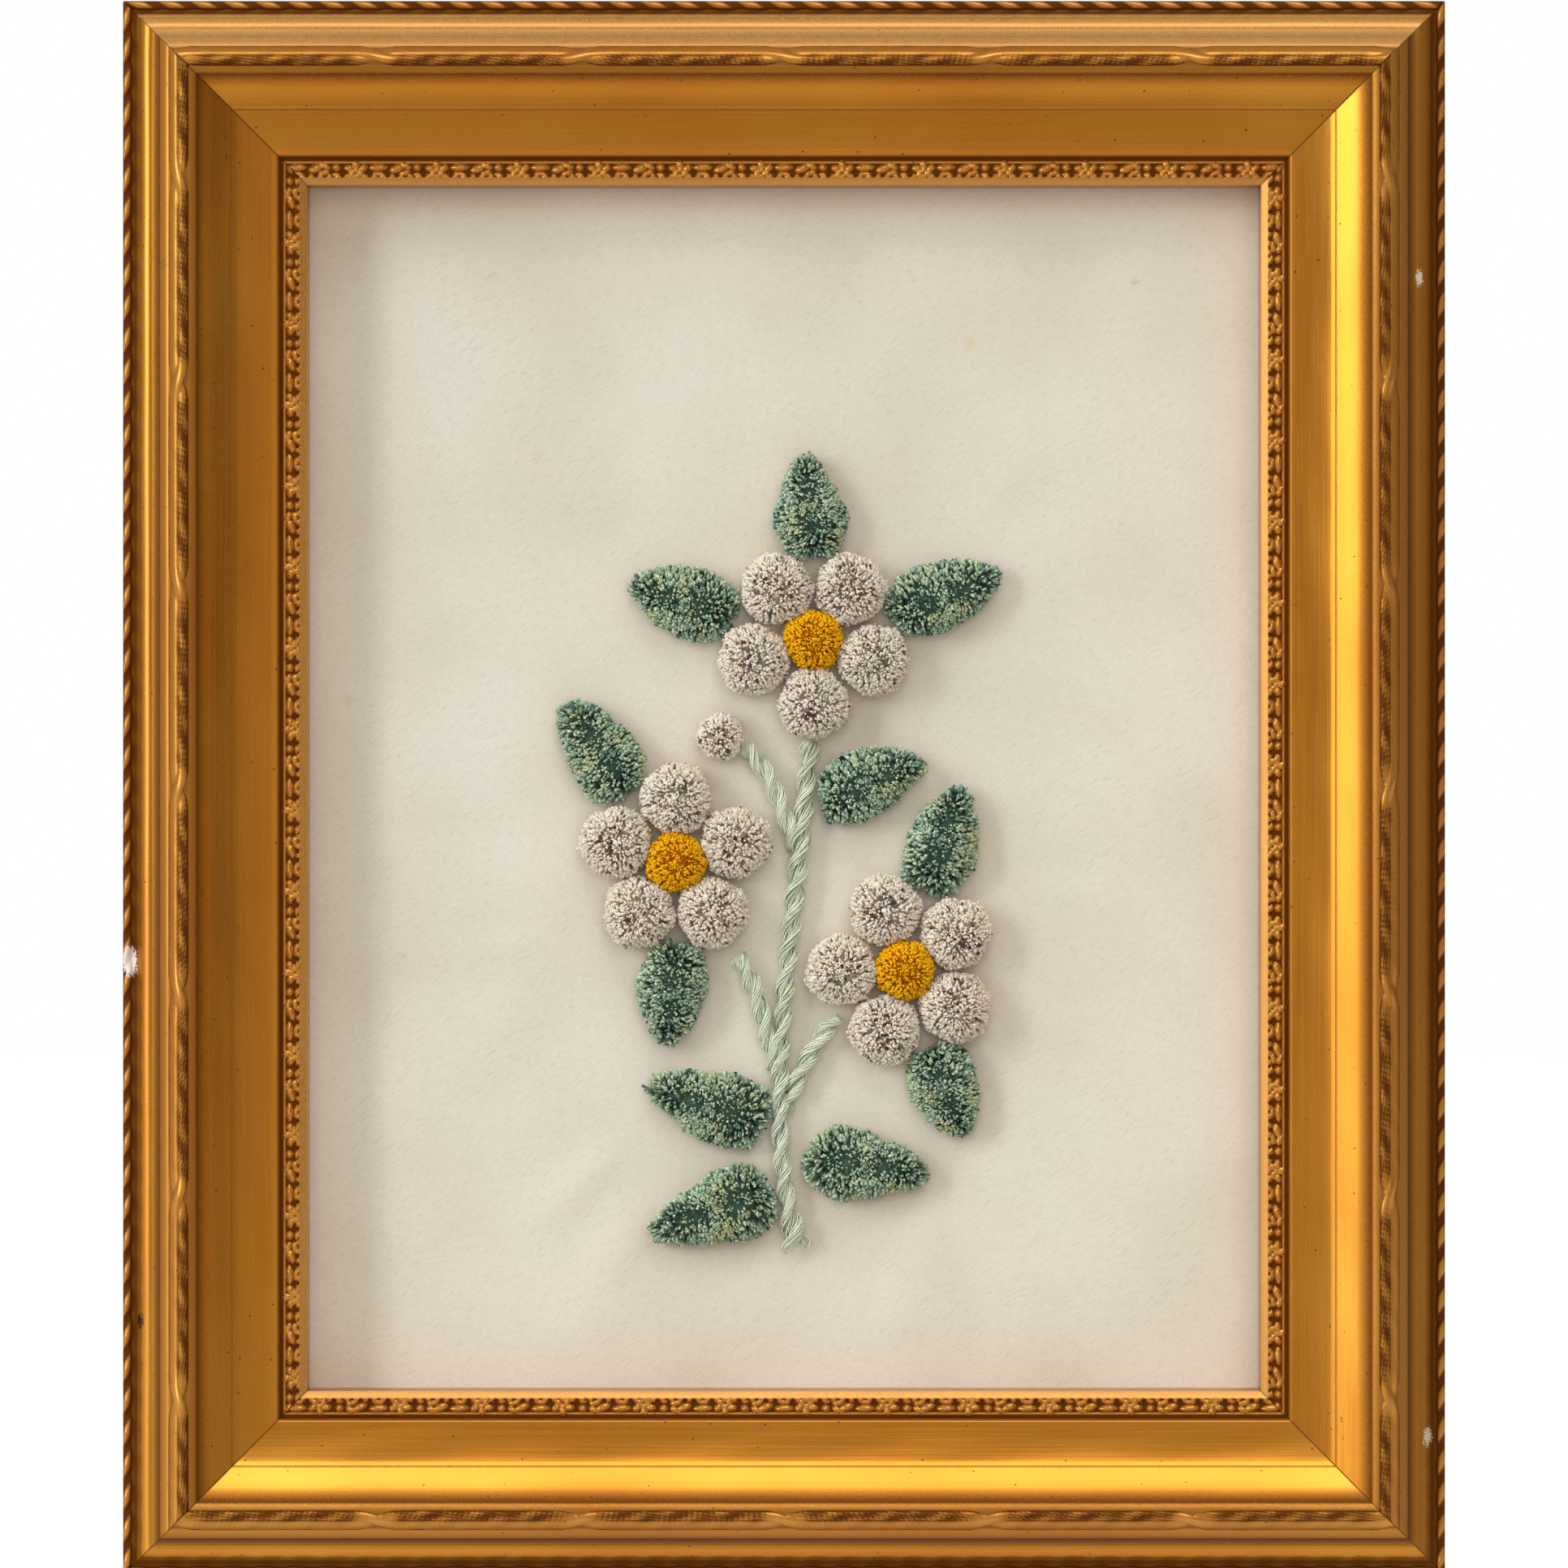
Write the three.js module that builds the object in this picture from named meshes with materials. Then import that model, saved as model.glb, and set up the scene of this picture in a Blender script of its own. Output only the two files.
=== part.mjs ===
// Framed hair tufting: a gilt frame of four mitred rails holds a cloth ground on its board,
// and on the ground stands a spray of clipped hair tufts with twisted hair stems.
// Millimetres. +Z is the picture's up, its face looks to -Y, and its back is the plane y = 0.
// The origin is the middle of the top rail's flat back, where the picture is hung.

import * as THREE from "three";
import { mergeVertices } from "three/addons/utils/BufferGeometryUtils.js";

// Driving dimensions
const SIGHT_WIDTH = 193;
const SIGHT_HEIGHT = 244;
const RAIL_WIDTH = 37.2;
const CLEARANCE = 0.3;
const REBATE_WIDTH = 5.6;
const BOARD_RECESS = 1.2;
const BOARD_THICKNESS = 2.5;
const CLOTH_THICKNESS = 1.2;
const SIGHT_DEPTH = 11.3;
const HANGING_DROP = 16;

// Heights above the back plane
const boardBack = BOARD_RECESS;
const clothBack = boardBack + BOARD_THICKNESS + CLEARANCE;
const clothFront = clothBack + CLOTH_THICKNESS;
const lipBack = clothFront + CLEARANCE;
const sightEdge = clothFront + SIGHT_DEPTH;

const frameWidth = SIGHT_WIDTH + 2 * RAIL_WIDTH;
const frameHeight = SIGHT_HEIGHT + 2 * RAIL_WIDTH;
const centreZ = HANGING_DROP - frameHeight / 2;

// The moulding's members from its outer edge inwards. Each runs on from the last one to the
// point (across, height), and its middle rises or sinks by bulge.
const OUTER_WALL_HEIGHT = 16.2;
const MOULDING = [
  { member: "twist bead", across: 2.6, height: 17.4, bulge: 1.4 },
  { member: "quirk", across: 3.1, height: 17.2, bulge: 0 },
  { member: "outer strip", across: 5.8, height: 20.0, bulge: 0.8 },
  { member: "cove", across: 7.7, height: 22.4, bulge: -0.7 },
  { member: "inner strip", across: 9.7, height: 25.2, bulge: 0.5 },
  { member: "reed", across: 13.6, height: 28.6, bulge: 1.7 },
  { member: "fillet", across: 15.1, height: 28.2, bulge: 0 },
  { member: "scoop", across: 22.3, height: 20.4, bulge: -1.5 },
  { member: "crease", across: 23.2, height: 20.0, bulge: -0.3 },
  { member: "slope", across: 31.2, height: 18.6, bulge: 0.2 },
  { member: "step", across: 31.9, height: 17.2, bulge: 0 },
  { member: "ornament band", across: 36.1, height: 17.4, bulge: 0.9 },
  { member: "sight bevel", across: RAIL_WIDTH, height: sightEdge, bulge: 0 },
];
const CURVE_STEPS = 5;

// The spray is laid out from the middle of the sight opening, with x to the right and z up.
const PETAL_RADIUS = 7.3;
const PETAL_RING = 12.75;
const PETAL_HEIGHT = 8.4;
const PETALS_PER_BLOOM = 5;
const CENTRE_RADIUS = 6.15;
const CENTRE_HEIGHT = 8.8;
const BUD_RADIUS = 4.8;
const BUD_HEIGHT = 6.6;
const LEAF_HEIGHT = 6.4;
const STEM_RADIUS = 1.65;
const STEM_STEP = 1.5;
const STEM_SIDES = 10;
const TWIST_PITCH = 12;
const TWIST_PLIES = 2;
const TWIST_DEPTH = 0.16;

const BLOOMS = [
  { name: "top", x: 6, z: 30, firstPetal: 54 },
  { name: "left", x: -22, z: -15, firstPetal: 90 },
  { name: "right", x: 24.5, z: -37, firstPetal: 36 },
];
// A bloom's leaves stand in the notches between its petals, at the angle notch
const LEAF_SEAT = 16.4;
const LEAF_WIDTH = 14;
const BLOOM_LEAVES = [
  { name: "top_left", bloom: 0, notch: 162, lean: 3, length: 25 },
  { name: "top_middle", bloom: 0, notch: 90, lean: 5, length: 23 },
  { name: "top_right", bloom: 0, notch: 18, lean: 4, length: 26 },
  { name: "left_upper", bloom: 1, notch: 126, lean: -4, length: 25 },
  { name: "left_lower", bloom: 1, notch: 270, lean: -5, length: 23 },
  { name: "right_upper", bloom: 2, notch: 72, lean: 3, length: 25 },
  { name: "right_lower", bloom: 2, notch: 288, lean: 3, length: 21 },
];
const STEM_LEAVES = [
  { name: "stem_high", x: 7.3, z: -3.5, heading: 26, length: 25 },
  { name: "stem_middle", x: -3.1, z: -68, heading: 163, length: 28 },
  { name: "stem_low", x: -1.5, z: -81.5, heading: 200, length: 29 },
  { name: "stem_side", x: 3.6, z: -75, heading: -8, length: 28 },
];
const STEMS = [
  { name: "main", from: [3, -94], bend: [[-5, -66], [1, -40]], to: [5.2, 9.6] },
  { name: "left", from: [-4.3, -52.5], bend: [[-4.6, -46], [-5.6, -39]], to: [-9.6, -34.2] },
  { name: "right", from: [2.3, -62], bend: [[4, -56], [7, -50]], to: [11.4, -46.4] },
  { name: "bud", from: [0.4, -8], bend: [[-1, -2], [-3, 4]], to: [-7.9, 8.2] },
];
const BUD = { x: -13, z: 10.4 };

// How a tuft spreads from its root, where the thread ties it, to its clipped crown
const TUFT_LEVELS = [
  { rise: 0, spread: 0.64 },
  { rise: 0.22, spread: 0.93 },
  { rise: 0.42, spread: 1 },
  { rise: 0.66, spread: 0.9 },
  { rise: 0.86, spread: 0.65 },
  { rise: 0.97, spread: 0.32 },
];
const CENTRE_LEVELS = [
  { rise: 0, spread: 0.62 },
  { rise: 0.4, spread: 0.72 },
  { rise: 0.7, spread: 1 },
  { rise: 0.9, spread: 0.8 },
  { rise: 0.98, spread: 0.4 },
];
const TUFT_SECTORS = 14;
const LEAF_SECTORS = 22;
const TUFT_UNEVENNESS = 0.035;

function finish(name, colour, roughness, metalness) {
  return new THREE.MeshStandardMaterial({ name, color: colour, roughness, metalness });
}

const GILT = { colour: "#a8742a", roughness: 0.38, metalness: 0.85 };
const CREAM = { colour: "#e3d9c7", roughness: 0.95, metalness: 0 };
const BOARD = { colour: "#b9a587", roughness: 0.9, metalness: 0 };
const GREY_HAIR = { colour: "#b3a59d", roughness: 0.85, metalness: 0 };
const ORANGE_HAIR = { colour: "#e8961c", roughness: 0.8, metalness: 0 };
const GREEN_HAIR = { colour: "#5f8a78", roughness: 0.85, metalness: 0 };
const PALE_GREEN_HAIR = { colour: "#86a68c", roughness: 0.8, metalness: 0 };

function piece(name, geometry, look) {
  const mesh = new THREE.Mesh(geometry, finish(name, look.colour, look.roughness, look.metalness));
  mesh.name = name;
  return mesh;
}

// Moulding outline in (across, height), closed round its back and its rebate
function mouldingOutline() {
  const outline = new THREE.Shape();
  outline.moveTo(0, 0);
  outline.lineTo(0, OUTER_WALL_HEIGHT);
  let last = { across: 0, height: OUTER_WALL_HEIGHT };
  for (const next of MOULDING) {
    if (next.bulge === 0) {
      outline.lineTo(next.across, next.height);
    } else {
      const middleAcross = (last.across + next.across) / 2;
      const middleHeight = (last.height + next.height) / 2;
      outline.quadraticCurveTo(middleAcross, middleHeight + 2 * next.bulge, next.across, next.height);
    }
    last = next;
  }
  outline.lineTo(RAIL_WIDTH, lipBack);
  outline.lineTo(RAIL_WIDTH - REBATE_WIDTH, lipBack);
  outline.lineTo(RAIL_WIDTH - REBATE_WIDTH, 0);
  return outline;
}

// A rail is the moulding run along X with both ends cut at 45 degrees, its outer edge at z = 0
function mitredRail(length) {
  const run = new THREE.ExtrudeGeometry(mouldingOutline(), {
    depth: 1,
    steps: 1,
    curveSegments: CURVE_STEPS,
    bevelEnabled: false,
  });
  const points = run.getAttribute("position");
  const endShift = CLEARANCE / Math.SQRT2;
  for (let i = 0; i < points.count; i += 1) {
    const across = points.getX(i);
    const height = points.getY(i);
    const side = points.getZ(i) > 0.5 ? 1 : -1;
    const reach = length / 2 - across - endShift;
    points.setXYZ(i, -side * reach, -height, -across);
  }
  run.computeVertexNormals();
  return run;
}

function frameRails() {
  const frame = new THREE.Group();
  const places = [
    { name: "rail_top", length: frameWidth, turn: 0, x: 0, z: frameHeight / 2 },
    { name: "rail_right", length: frameHeight, turn: 90, x: frameWidth / 2, z: 0 },
    { name: "rail_bottom", length: frameWidth, turn: 180, x: 0, z: -frameHeight / 2 },
    { name: "rail_left", length: frameHeight, turn: -90, x: -frameWidth / 2, z: 0 },
  ];
  for (const place of places) {
    const rail = piece(place.name, mitredRail(place.length), GILT);
    rail.rotation.y = THREE.MathUtils.degToRad(place.turn);
    rail.position.set(place.x, 0, place.z);
    frame.add(rail);
  }
  return frame;
}

// The ground puckers softly where the tufts draw it in. It stays flat under the spray and
// where the rebate holds it.
const SPRAY_HALF_WIDTH = 47;
const SPRAY_HALF_HEIGHT = 82;
const SPRAY_MIDDLE_Z = -13;
const PUCKER_HEIGHT = 0.8;
const PUCKERS_AROUND = 11;

function puckerHeight(x, z) {
  const acrossSpray = x / SPRAY_HALF_WIDTH;
  const upSpray = (z - SPRAY_MIDDLE_Z) / SPRAY_HALF_HEIGHT;
  const reach = Math.hypot(acrossSpray, upSpray);
  const angle = Math.atan2(upSpray, acrossSpray);
  const start = THREE.MathUtils.smoothstep(reach, 1, 1.25);
  const edgeX = THREE.MathUtils.smoothstep(SIGHT_WIDTH / 2 - Math.abs(x), 0, 30);
  const edgeZ = THREE.MathUtils.smoothstep(SIGHT_HEIGHT / 2 - Math.abs(z), 0, 30);
  const wave = Math.sin(PUCKERS_AROUND * angle + 0.8) + 0.5 * Math.sin((PUCKERS_AROUND + 6) * angle);
  const strength = 0.55 - 0.45 * Math.sin(angle);
  return PUCKER_HEIGHT * start * edgeX * edgeZ * strength * wave;
}

const CLOTH_CELL = 9;

function groundCloth() {
  const margin = REBATE_WIDTH - 2 * CLEARANCE;
  const width = SIGHT_WIDTH + 2 * margin;
  const height = SIGHT_HEIGHT + 2 * margin;
  const columns = Math.round(width / CLOTH_CELL);
  const rows = Math.round(height / CLOTH_CELL);
  const sheet = new THREE.BoxGeometry(width, CLOTH_THICKNESS, height, columns, 1, rows);
  const points = sheet.getAttribute("position");
  for (let i = 0; i < points.count; i += 1) {
    points.setY(i, points.getY(i) - Math.max(0, puckerHeight(points.getX(i), points.getZ(i))));
  }
  sheet.computeVertexNormals();
  const cloth = piece("ground_cloth", sheet, CREAM);
  cloth.position.y = -(clothBack + CLOTH_THICKNESS / 2);
  return cloth;
}

function backingBoard() {
  const margin = REBATE_WIDTH - CLEARANCE;
  const slab = new THREE.BoxGeometry(
    SIGHT_WIDTH + 2 * margin,
    BOARD_THICKNESS,
    SIGHT_HEIGHT + 2 * margin,
  );
  const board = piece("backing_board", slab, BOARD);
  board.position.y = -(boardBack + BOARD_THICKNESS / 2);
  return board;
}

// Closes a stack of rings, each a closed loop of points, with a fan at each end
function skinOverRings(rings, startPoint, endPoint) {
  const sides = rings[0].length;
  const corners = [startPoint, ...rings.flat(), endPoint];
  const last = corners.length - 1;
  const faces = [];
  for (let side = 0; side < sides; side += 1) {
    const next = (side + 1) % sides;
    faces.push(0, 1 + next, 1 + side);
    for (let ring = 0; ring < rings.length - 1; ring += 1) {
      const low = 1 + ring * sides;
      const high = low + sides;
      faces.push(low + side, low + next, high + next);
      faces.push(low + side, high + next, high + side);
    }
    faces.push(last, last - sides + side, last - sides + next);
  }
  const skin = new THREE.BufferGeometry();
  skin.setAttribute("position", new THREE.Float32BufferAttribute(corners.flat(), 3));
  skin.setIndex(faces);
  const merged = mergeVertices(skin);
  merged.computeVertexNormals();
  return merged;
}

// A clipped tuft on the plan outline rim(angle), which gives a point [x, z]
function tuft(rim, levels, sectors, height, seed) {
  const rings = levels.map((level, index) => {
    const ring = [];
    for (let sector = 0; sector < sectors; sector += 1) {
      const angle = (2 * Math.PI * sector) / sectors;
      const lump = 1 + TUFT_UNEVENNESS * Math.sin(3 * angle + seed + index) * Math.cos(2 * angle + seed);
      const spread = Math.min(level.spread * lump, 1);
      const [x, z] = rim(angle);
      ring.push([x * spread, -height * level.rise, z * spread]);
    }
    return ring;
  });
  return skinOverRings(rings, [0, 0, 0], [0, -height, 0]);
}

function roundRim(radius) {
  return (angle) => [radius * Math.cos(angle), radius * Math.sin(angle)];
}

// A pointed oval between two arcs, fuller at its root, with the root's point rounded off
const LEAF_FULLNESS = 0.22;
const LEAF_ROOT_CUT = 0.84;

function leafRim(length, width) {
  const halfLength = length / 2;
  const halfWidth = width / 2;
  const arcRadius = (halfLength ** 2 + halfWidth ** 2) / (2 * halfWidth);
  const arcOffset = arcRadius - halfWidth;
  return (angle) => {
    const rise = Math.abs(Math.sin(angle));
    const reach = Math.sqrt(arcRadius ** 2 - (arcOffset * Math.cos(angle)) ** 2) - arcOffset * rise;
    const along = Math.max(reach * Math.cos(angle), -LEAF_ROOT_CUT * halfLength);
    const across = reach * Math.sin(angle) * (1 - (LEAF_FULLNESS * along) / halfLength);
    return [along, across];
  };
}

function placeOnGround(mesh, x, z, heading) {
  mesh.position.set(x, -(clothFront + CLEARANCE), z);
  mesh.rotation.y = -THREE.MathUtils.degToRad(heading);
  return mesh;
}

function bloom(row) {
  const group = new THREE.Group();
  for (let i = 0; i < PETALS_PER_BLOOM; i += 1) {
    const degrees = row.firstPetal + (360 * i) / PETALS_PER_BLOOM;
    const angle = THREE.MathUtils.degToRad(degrees);
    const x = row.x + PETAL_RING * Math.cos(angle);
    const z = row.z + PETAL_RING * Math.sin(angle);
    const shape = tuft(roundRim(PETAL_RADIUS), TUFT_LEVELS, TUFT_SECTORS, PETAL_HEIGHT, row.x + i);
    group.add(placeOnGround(piece(`petal_${row.name}_${i + 1}`, shape, GREY_HAIR), x, z, degrees));
  }
  const middle = tuft(roundRim(CENTRE_RADIUS), CENTRE_LEVELS, TUFT_SECTORS, CENTRE_HEIGHT, row.z);
  group.add(placeOnGround(piece(`centre_${row.name}`, middle, ORANGE_HAIR), row.x, row.z, 0));
  return group;
}

function bloomLeaf(row) {
  const host = BLOOMS[row.bloom];
  const angle = THREE.MathUtils.degToRad(row.notch);
  const x = host.x + LEAF_SEAT * Math.cos(angle);
  const z = host.z + LEAF_SEAT * Math.sin(angle);
  return { name: row.name, x, z, heading: row.notch + row.lean, length: row.length };
}

function leaf(row, index) {
  const shape = tuft(leafRim(row.length, LEAF_WIDTH), TUFT_LEVELS, LEAF_SECTORS, LEAF_HEIGHT, index);
  const angle = THREE.MathUtils.degToRad(row.heading);
  const toMiddle = (LEAF_ROOT_CUT * row.length) / 2;
  const x = row.x + toMiddle * Math.cos(angle);
  const z = row.z + toMiddle * Math.sin(angle);
  return placeOnGround(piece(`leaf_${row.name}`, shape, GREEN_HAIR), x, z, row.heading);
}

// A stem is a bundle of hair in two twisted plies, laid along a curve on the ground
function stem(row) {
  const flat = ([x, z]) => new THREE.Vector3(x, 0, z);
  const path = new THREE.CubicBezierCurve3(
    flat(row.from),
    flat(row.bend[0]),
    flat(row.bend[1]),
    flat(row.to),
  );
  const steps = Math.round(path.getLength() / STEM_STEP);
  const rings = [];
  for (let step = 0; step <= steps; step += 1) {
    const place = path.getPointAt(step / steps);
    const ahead = path.getTangentAt(step / steps);
    const side = new THREE.Vector3(-ahead.z, 0, ahead.x);
    const turn = (2 * Math.PI * step * STEM_STEP) / TWIST_PITCH;
    const taper = step === 0 || step === steps ? 0.7 : 1;
    const ring = [];
    for (let corner = 0; corner < STEM_SIDES; corner += 1) {
      const angle = (2 * Math.PI * corner) / STEM_SIDES;
      const lobe = 1 + TWIST_DEPTH * Math.cos(TWIST_PLIES * (angle - turn));
      const radius = STEM_RADIUS * taper * lobe;
      ring.push([
        place.x + side.x * radius * Math.cos(angle),
        -radius * Math.sin(angle),
        place.z + side.z * radius * Math.cos(angle),
      ]);
    }
    rings.push(ring);
  }
  const start = path.getPointAt(0).toArray();
  const end = path.getPointAt(1).toArray();
  const mesh = piece(`stem_${row.name}`, skinOverRings(rings, start, end), PALE_GREEN_HAIR);
  mesh.position.y = -(clothFront + CLEARANCE + STEM_RADIUS * (1 + TWIST_DEPTH));
  return mesh;
}

function spray() {
  const group = new THREE.Group();
  BLOOMS.forEach((row) => group.add(bloom(row)));
  const leaves = [...BLOOM_LEAVES.map(bloomLeaf), ...STEM_LEAVES];
  leaves.forEach((row, index) => group.add(leaf(row, index)));
  STEMS.forEach((row) => group.add(stem(row)));
  const budShape = tuft(roundRim(BUD_RADIUS), TUFT_LEVELS, TUFT_SECTORS, BUD_HEIGHT, 2);
  group.add(placeOnGround(piece("bud_tuft", budShape, GREY_HAIR), BUD.x, BUD.z, 0));
  return group;
}

const picture = new THREE.Group();
picture.position.z = centreZ;
picture.add(frameRails(), groundCloth(), backingBoard(), spray());

export default picture;
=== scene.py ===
# %% [markdown]
# A framed hair tufting.
# The object is a picture: a spray of clipped hair tufts stands on a stretched cream cloth, in a
# gilt frame. The construction comes packed as a fixed frame of plain solids. Here each solid
# gets the surface of the real thing: pressed ornament on the moulding, worn gilding, napped
# cloth and hair by hair tufts. All lengths are in metres, and MM turns millimetres into them.

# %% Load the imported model
import math

import bpy
import numpy as np
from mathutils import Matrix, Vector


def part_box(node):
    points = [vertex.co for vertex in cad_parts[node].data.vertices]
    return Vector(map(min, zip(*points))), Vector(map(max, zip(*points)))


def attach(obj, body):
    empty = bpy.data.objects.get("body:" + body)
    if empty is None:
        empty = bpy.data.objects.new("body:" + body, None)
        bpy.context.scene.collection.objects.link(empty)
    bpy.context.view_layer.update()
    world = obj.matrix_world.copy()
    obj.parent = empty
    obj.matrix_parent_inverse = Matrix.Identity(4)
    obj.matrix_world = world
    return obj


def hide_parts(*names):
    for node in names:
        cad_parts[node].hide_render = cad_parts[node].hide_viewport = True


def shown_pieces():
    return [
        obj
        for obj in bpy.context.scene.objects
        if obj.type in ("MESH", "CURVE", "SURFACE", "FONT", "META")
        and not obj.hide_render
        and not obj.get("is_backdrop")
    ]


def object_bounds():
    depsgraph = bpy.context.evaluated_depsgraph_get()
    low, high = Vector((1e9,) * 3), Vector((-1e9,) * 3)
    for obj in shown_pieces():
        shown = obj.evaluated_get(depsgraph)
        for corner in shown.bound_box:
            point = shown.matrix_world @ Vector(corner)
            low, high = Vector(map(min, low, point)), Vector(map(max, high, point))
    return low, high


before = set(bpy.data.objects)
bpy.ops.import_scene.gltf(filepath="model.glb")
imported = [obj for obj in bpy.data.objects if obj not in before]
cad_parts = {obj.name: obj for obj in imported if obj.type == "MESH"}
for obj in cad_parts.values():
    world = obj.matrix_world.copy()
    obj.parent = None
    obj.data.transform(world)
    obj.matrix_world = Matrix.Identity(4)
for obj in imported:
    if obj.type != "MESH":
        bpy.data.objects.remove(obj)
cad_low, cad_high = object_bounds()
MM = 0.001
print("packed nodes:", len(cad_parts), "size in mm:", [round(v / MM, 1) for v in cad_high - cad_low])

# %% [markdown]
# Colours are written as sRGB hex values, as a paint chart gives them, but the shaders work with
# linear light. One function turns one into the other. A second one adds a shader node with its
# settings and its links, so that each material below reads as a list of what it is made of. A
# key is a setting of the node, or a socket's name or number. A value that is itself a socket is
# linked, and a hex value is turned to linear light. Each material, and the sky, has its own short
# form of it, add, that knows where the node goes.


# %% Colour and node helpers
USED_OUTPUT = {"Mix": 2, "Attribute": "Fac", "TexCoord": "Object"}
WHITE, BLACK = "#FFFFFF", "#000000"


def linear(hex_colour):
    channels = [int(hex_colour[i : i + 2], 16) / 255 for i in (1, 3, 5)]
    return [c / 12.92 if c <= 0.04045 else ((c + 0.055) / 1.055) ** 2.4 for c in channels] + [1.0]


def set_up(node, settings):
    for key, value in settings.items():
        if isinstance(value, str) and value.startswith("#"):
            value = linear(value)
        if isinstance(value, bpy.types.NodeSocket):
            node.id_data.links.new(value, node.inputs[key])
        elif key == "stops":
            elements = node.color_ramp.elements
            for place, colour in value[len(elements) :]:
                elements.new(place)
            for element, (place, colour) in zip(elements, value):
                element.position, element.color = place, linear(colour)
        elif key == "range":
            for number, limit in enumerate(value, 1):
                node.inputs[number].default_value = limit
        elif isinstance(key, str) and hasattr(node, key):
            setattr(node, key, value)
        else:
            node.inputs[key].default_value = value


def add_node(tree, kind, settings, output=None):
    """Adds a node, such as "Math ADD" with its mode after its kind, and gives one of its outputs."""
    kind, *mode = kind.split()
    node = tree.nodes.new("ShaderNode" + kind)
    if mode:
        setattr(node, "data_type" if kind == "Mix" else "operation", mode[0])
    set_up(node, settings)
    if node.outputs:
        return node.outputs[USED_OUTPUT.get(kind, 0) if output is None else output]


def adder(tree):
    return lambda *node: add_node(tree, *node)


def new_material(name):
    """A material, a function that adds a node to it, and the node that is its surface."""
    material = bpy.data.materials.new(name)
    material.use_nodes = True
    return material, adder(material.node_tree), material.node_tree.nodes["Principled BSDF"]


# %% [markdown]
# Every piece here is a mesh made from arrays of points and faces. Hair and ornament are
# thousands of like shapes, so arrays are far quicker than adding objects one by one, and each
# point can carry values, such as how deep it lies in a groove, that the material reads later.


# %% A piece from arrays
def new_piece(name, points, faces, materials, replaced, values=None, face_material=None):
    mesh = bpy.data.meshes.new(name)
    mesh.from_pydata(np.asarray(points).tolist(), [], [list(map(int, face)) for face in faces])
    mesh.update()
    mesh.polygons.foreach_set("use_smooth", np.ones(len(mesh.polygons), bool))
    for material in materials:
        mesh.materials.append(material)
    if face_material is not None:
        mesh.polygons.foreach_set("material_index", np.asarray(face_material, np.int32))
    for key, value in (values or {}).items():
        value = np.asarray(value, np.float32)
        kind = "FLOAT" if value.ndim == 1 else "FLOAT_VECTOR"
        attribute = mesh.attributes.new(key, kind, "POINT")
        attribute.data.foreach_set("value" if value.ndim == 1 else "vector", value.ravel())
    piece = bpy.data.objects.new(name, mesh)
    bpy.context.scene.collection.objects.link(piece)
    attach(piece, "root")
    if replaced:
        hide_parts(*replaced)
    return piece


# %% [markdown]
# Camera. The photograph is taken square on, from far enough that the sight edges hardly show
# their thickness. A long lens at two metres does that. Its view is as wide as 1932 pixels at
# 6.13 pixels a millimetre, and the frame's middle lies a few pixels below the view's.

# %% Camera
PHOTO_WIDTH_PX = 1932
PHOTO_PX_PER_MM = 6.13
FRAME_BELOW_MIDDLE_PX = 5
CAMERA_DISTANCE = 2.0
SENSOR_WIDTH_MM = 36

middle_z = (cad_low.z + cad_high.z) / 2
front_y = cad_low.y
view_width = PHOTO_WIDTH_PX / PHOTO_PX_PER_MM * MM

camera_data = bpy.data.cameras.new("camera")
camera_data.sensor_width = SENSOR_WIDTH_MM
camera_data.lens = SENSOR_WIDTH_MM * CAMERA_DISTANCE / view_width
camera = bpy.data.objects.new("camera", camera_data)
camera.location = (0, front_y - CAMERA_DISTANCE, middle_z + FRAME_BELOW_MIDDLE_PX / PHOTO_PX_PER_MM * MM)
camera.rotation_euler = (math.radians(90), 0, 0)
bpy.context.scene.collection.objects.link(camera)
bpy.context.scene.camera = camera
print("lens in mm:", round(camera_data.lens))

# %% [markdown]
# Light. The left sight edge throws a band of shade 15 mm wide on cloth that lies 11.3 mm behind
# it, and its outline is fairly clear. The top edge throws a soft one. Those lengths give the
# direction to a window light, a little blue as daylight is. A large weak fill in front keeps the
# shade open. Both only serve the cloth and hair: gilt shows what surrounds it, so its gloss
# comes from the sky. That sky is warm and dim, as a room is, with a lighter patch in front and
# two soft glowing fields, as large reflectors give: one to the left, one above. The right stays
# dark, and so the right and bottom rails gleam while the left and top rails stay brown. The
# camera itself sees plain white behind the object.

# %% Window light
SHADE_ACROSS, SHADE_DOWN, RECESS = 15.3, 8.0, 11.3
LIGHT_DISTANCE = 2.4
LAMPS = [  # name, direction, width and height in metres, watts, colour
    ("window_light", (-SHADE_ACROSS, -RECESS, SHADE_DOWN), (0.42, 1.4), 17.5, (0.92, 0.98, 1.05)),
    ("front_fill", (0.1, -1.0, 0.25), (1.6, 1.6), 14, (1.0, 0.97, 0.99)),
]
middle = np.array([0, front_y, middle_z])
for name, towards, size, watts, colour in LAMPS:
    lamp = bpy.data.lights.new(name, "AREA")
    lamp.shape = "RECTANGLE"
    lamp.size, lamp.size_y = size
    lamp.energy = watts
    lamp.color = colour
    holder = bpy.data.objects.new(name, lamp)
    holder.location = middle + np.array(towards) / np.linalg.norm(towards) * LIGHT_DISTANCE
    aim = holder.location - type(holder.location)(middle)
    holder.rotation_euler = aim.to_track_quat("Z", "Y").to_euler()
    holder.visible_glossy = False
    holder.visible_camera = False
    bpy.context.scene.collection.objects.link(holder)
print("lamps:", [row[0] for row in LAMPS])

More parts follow.
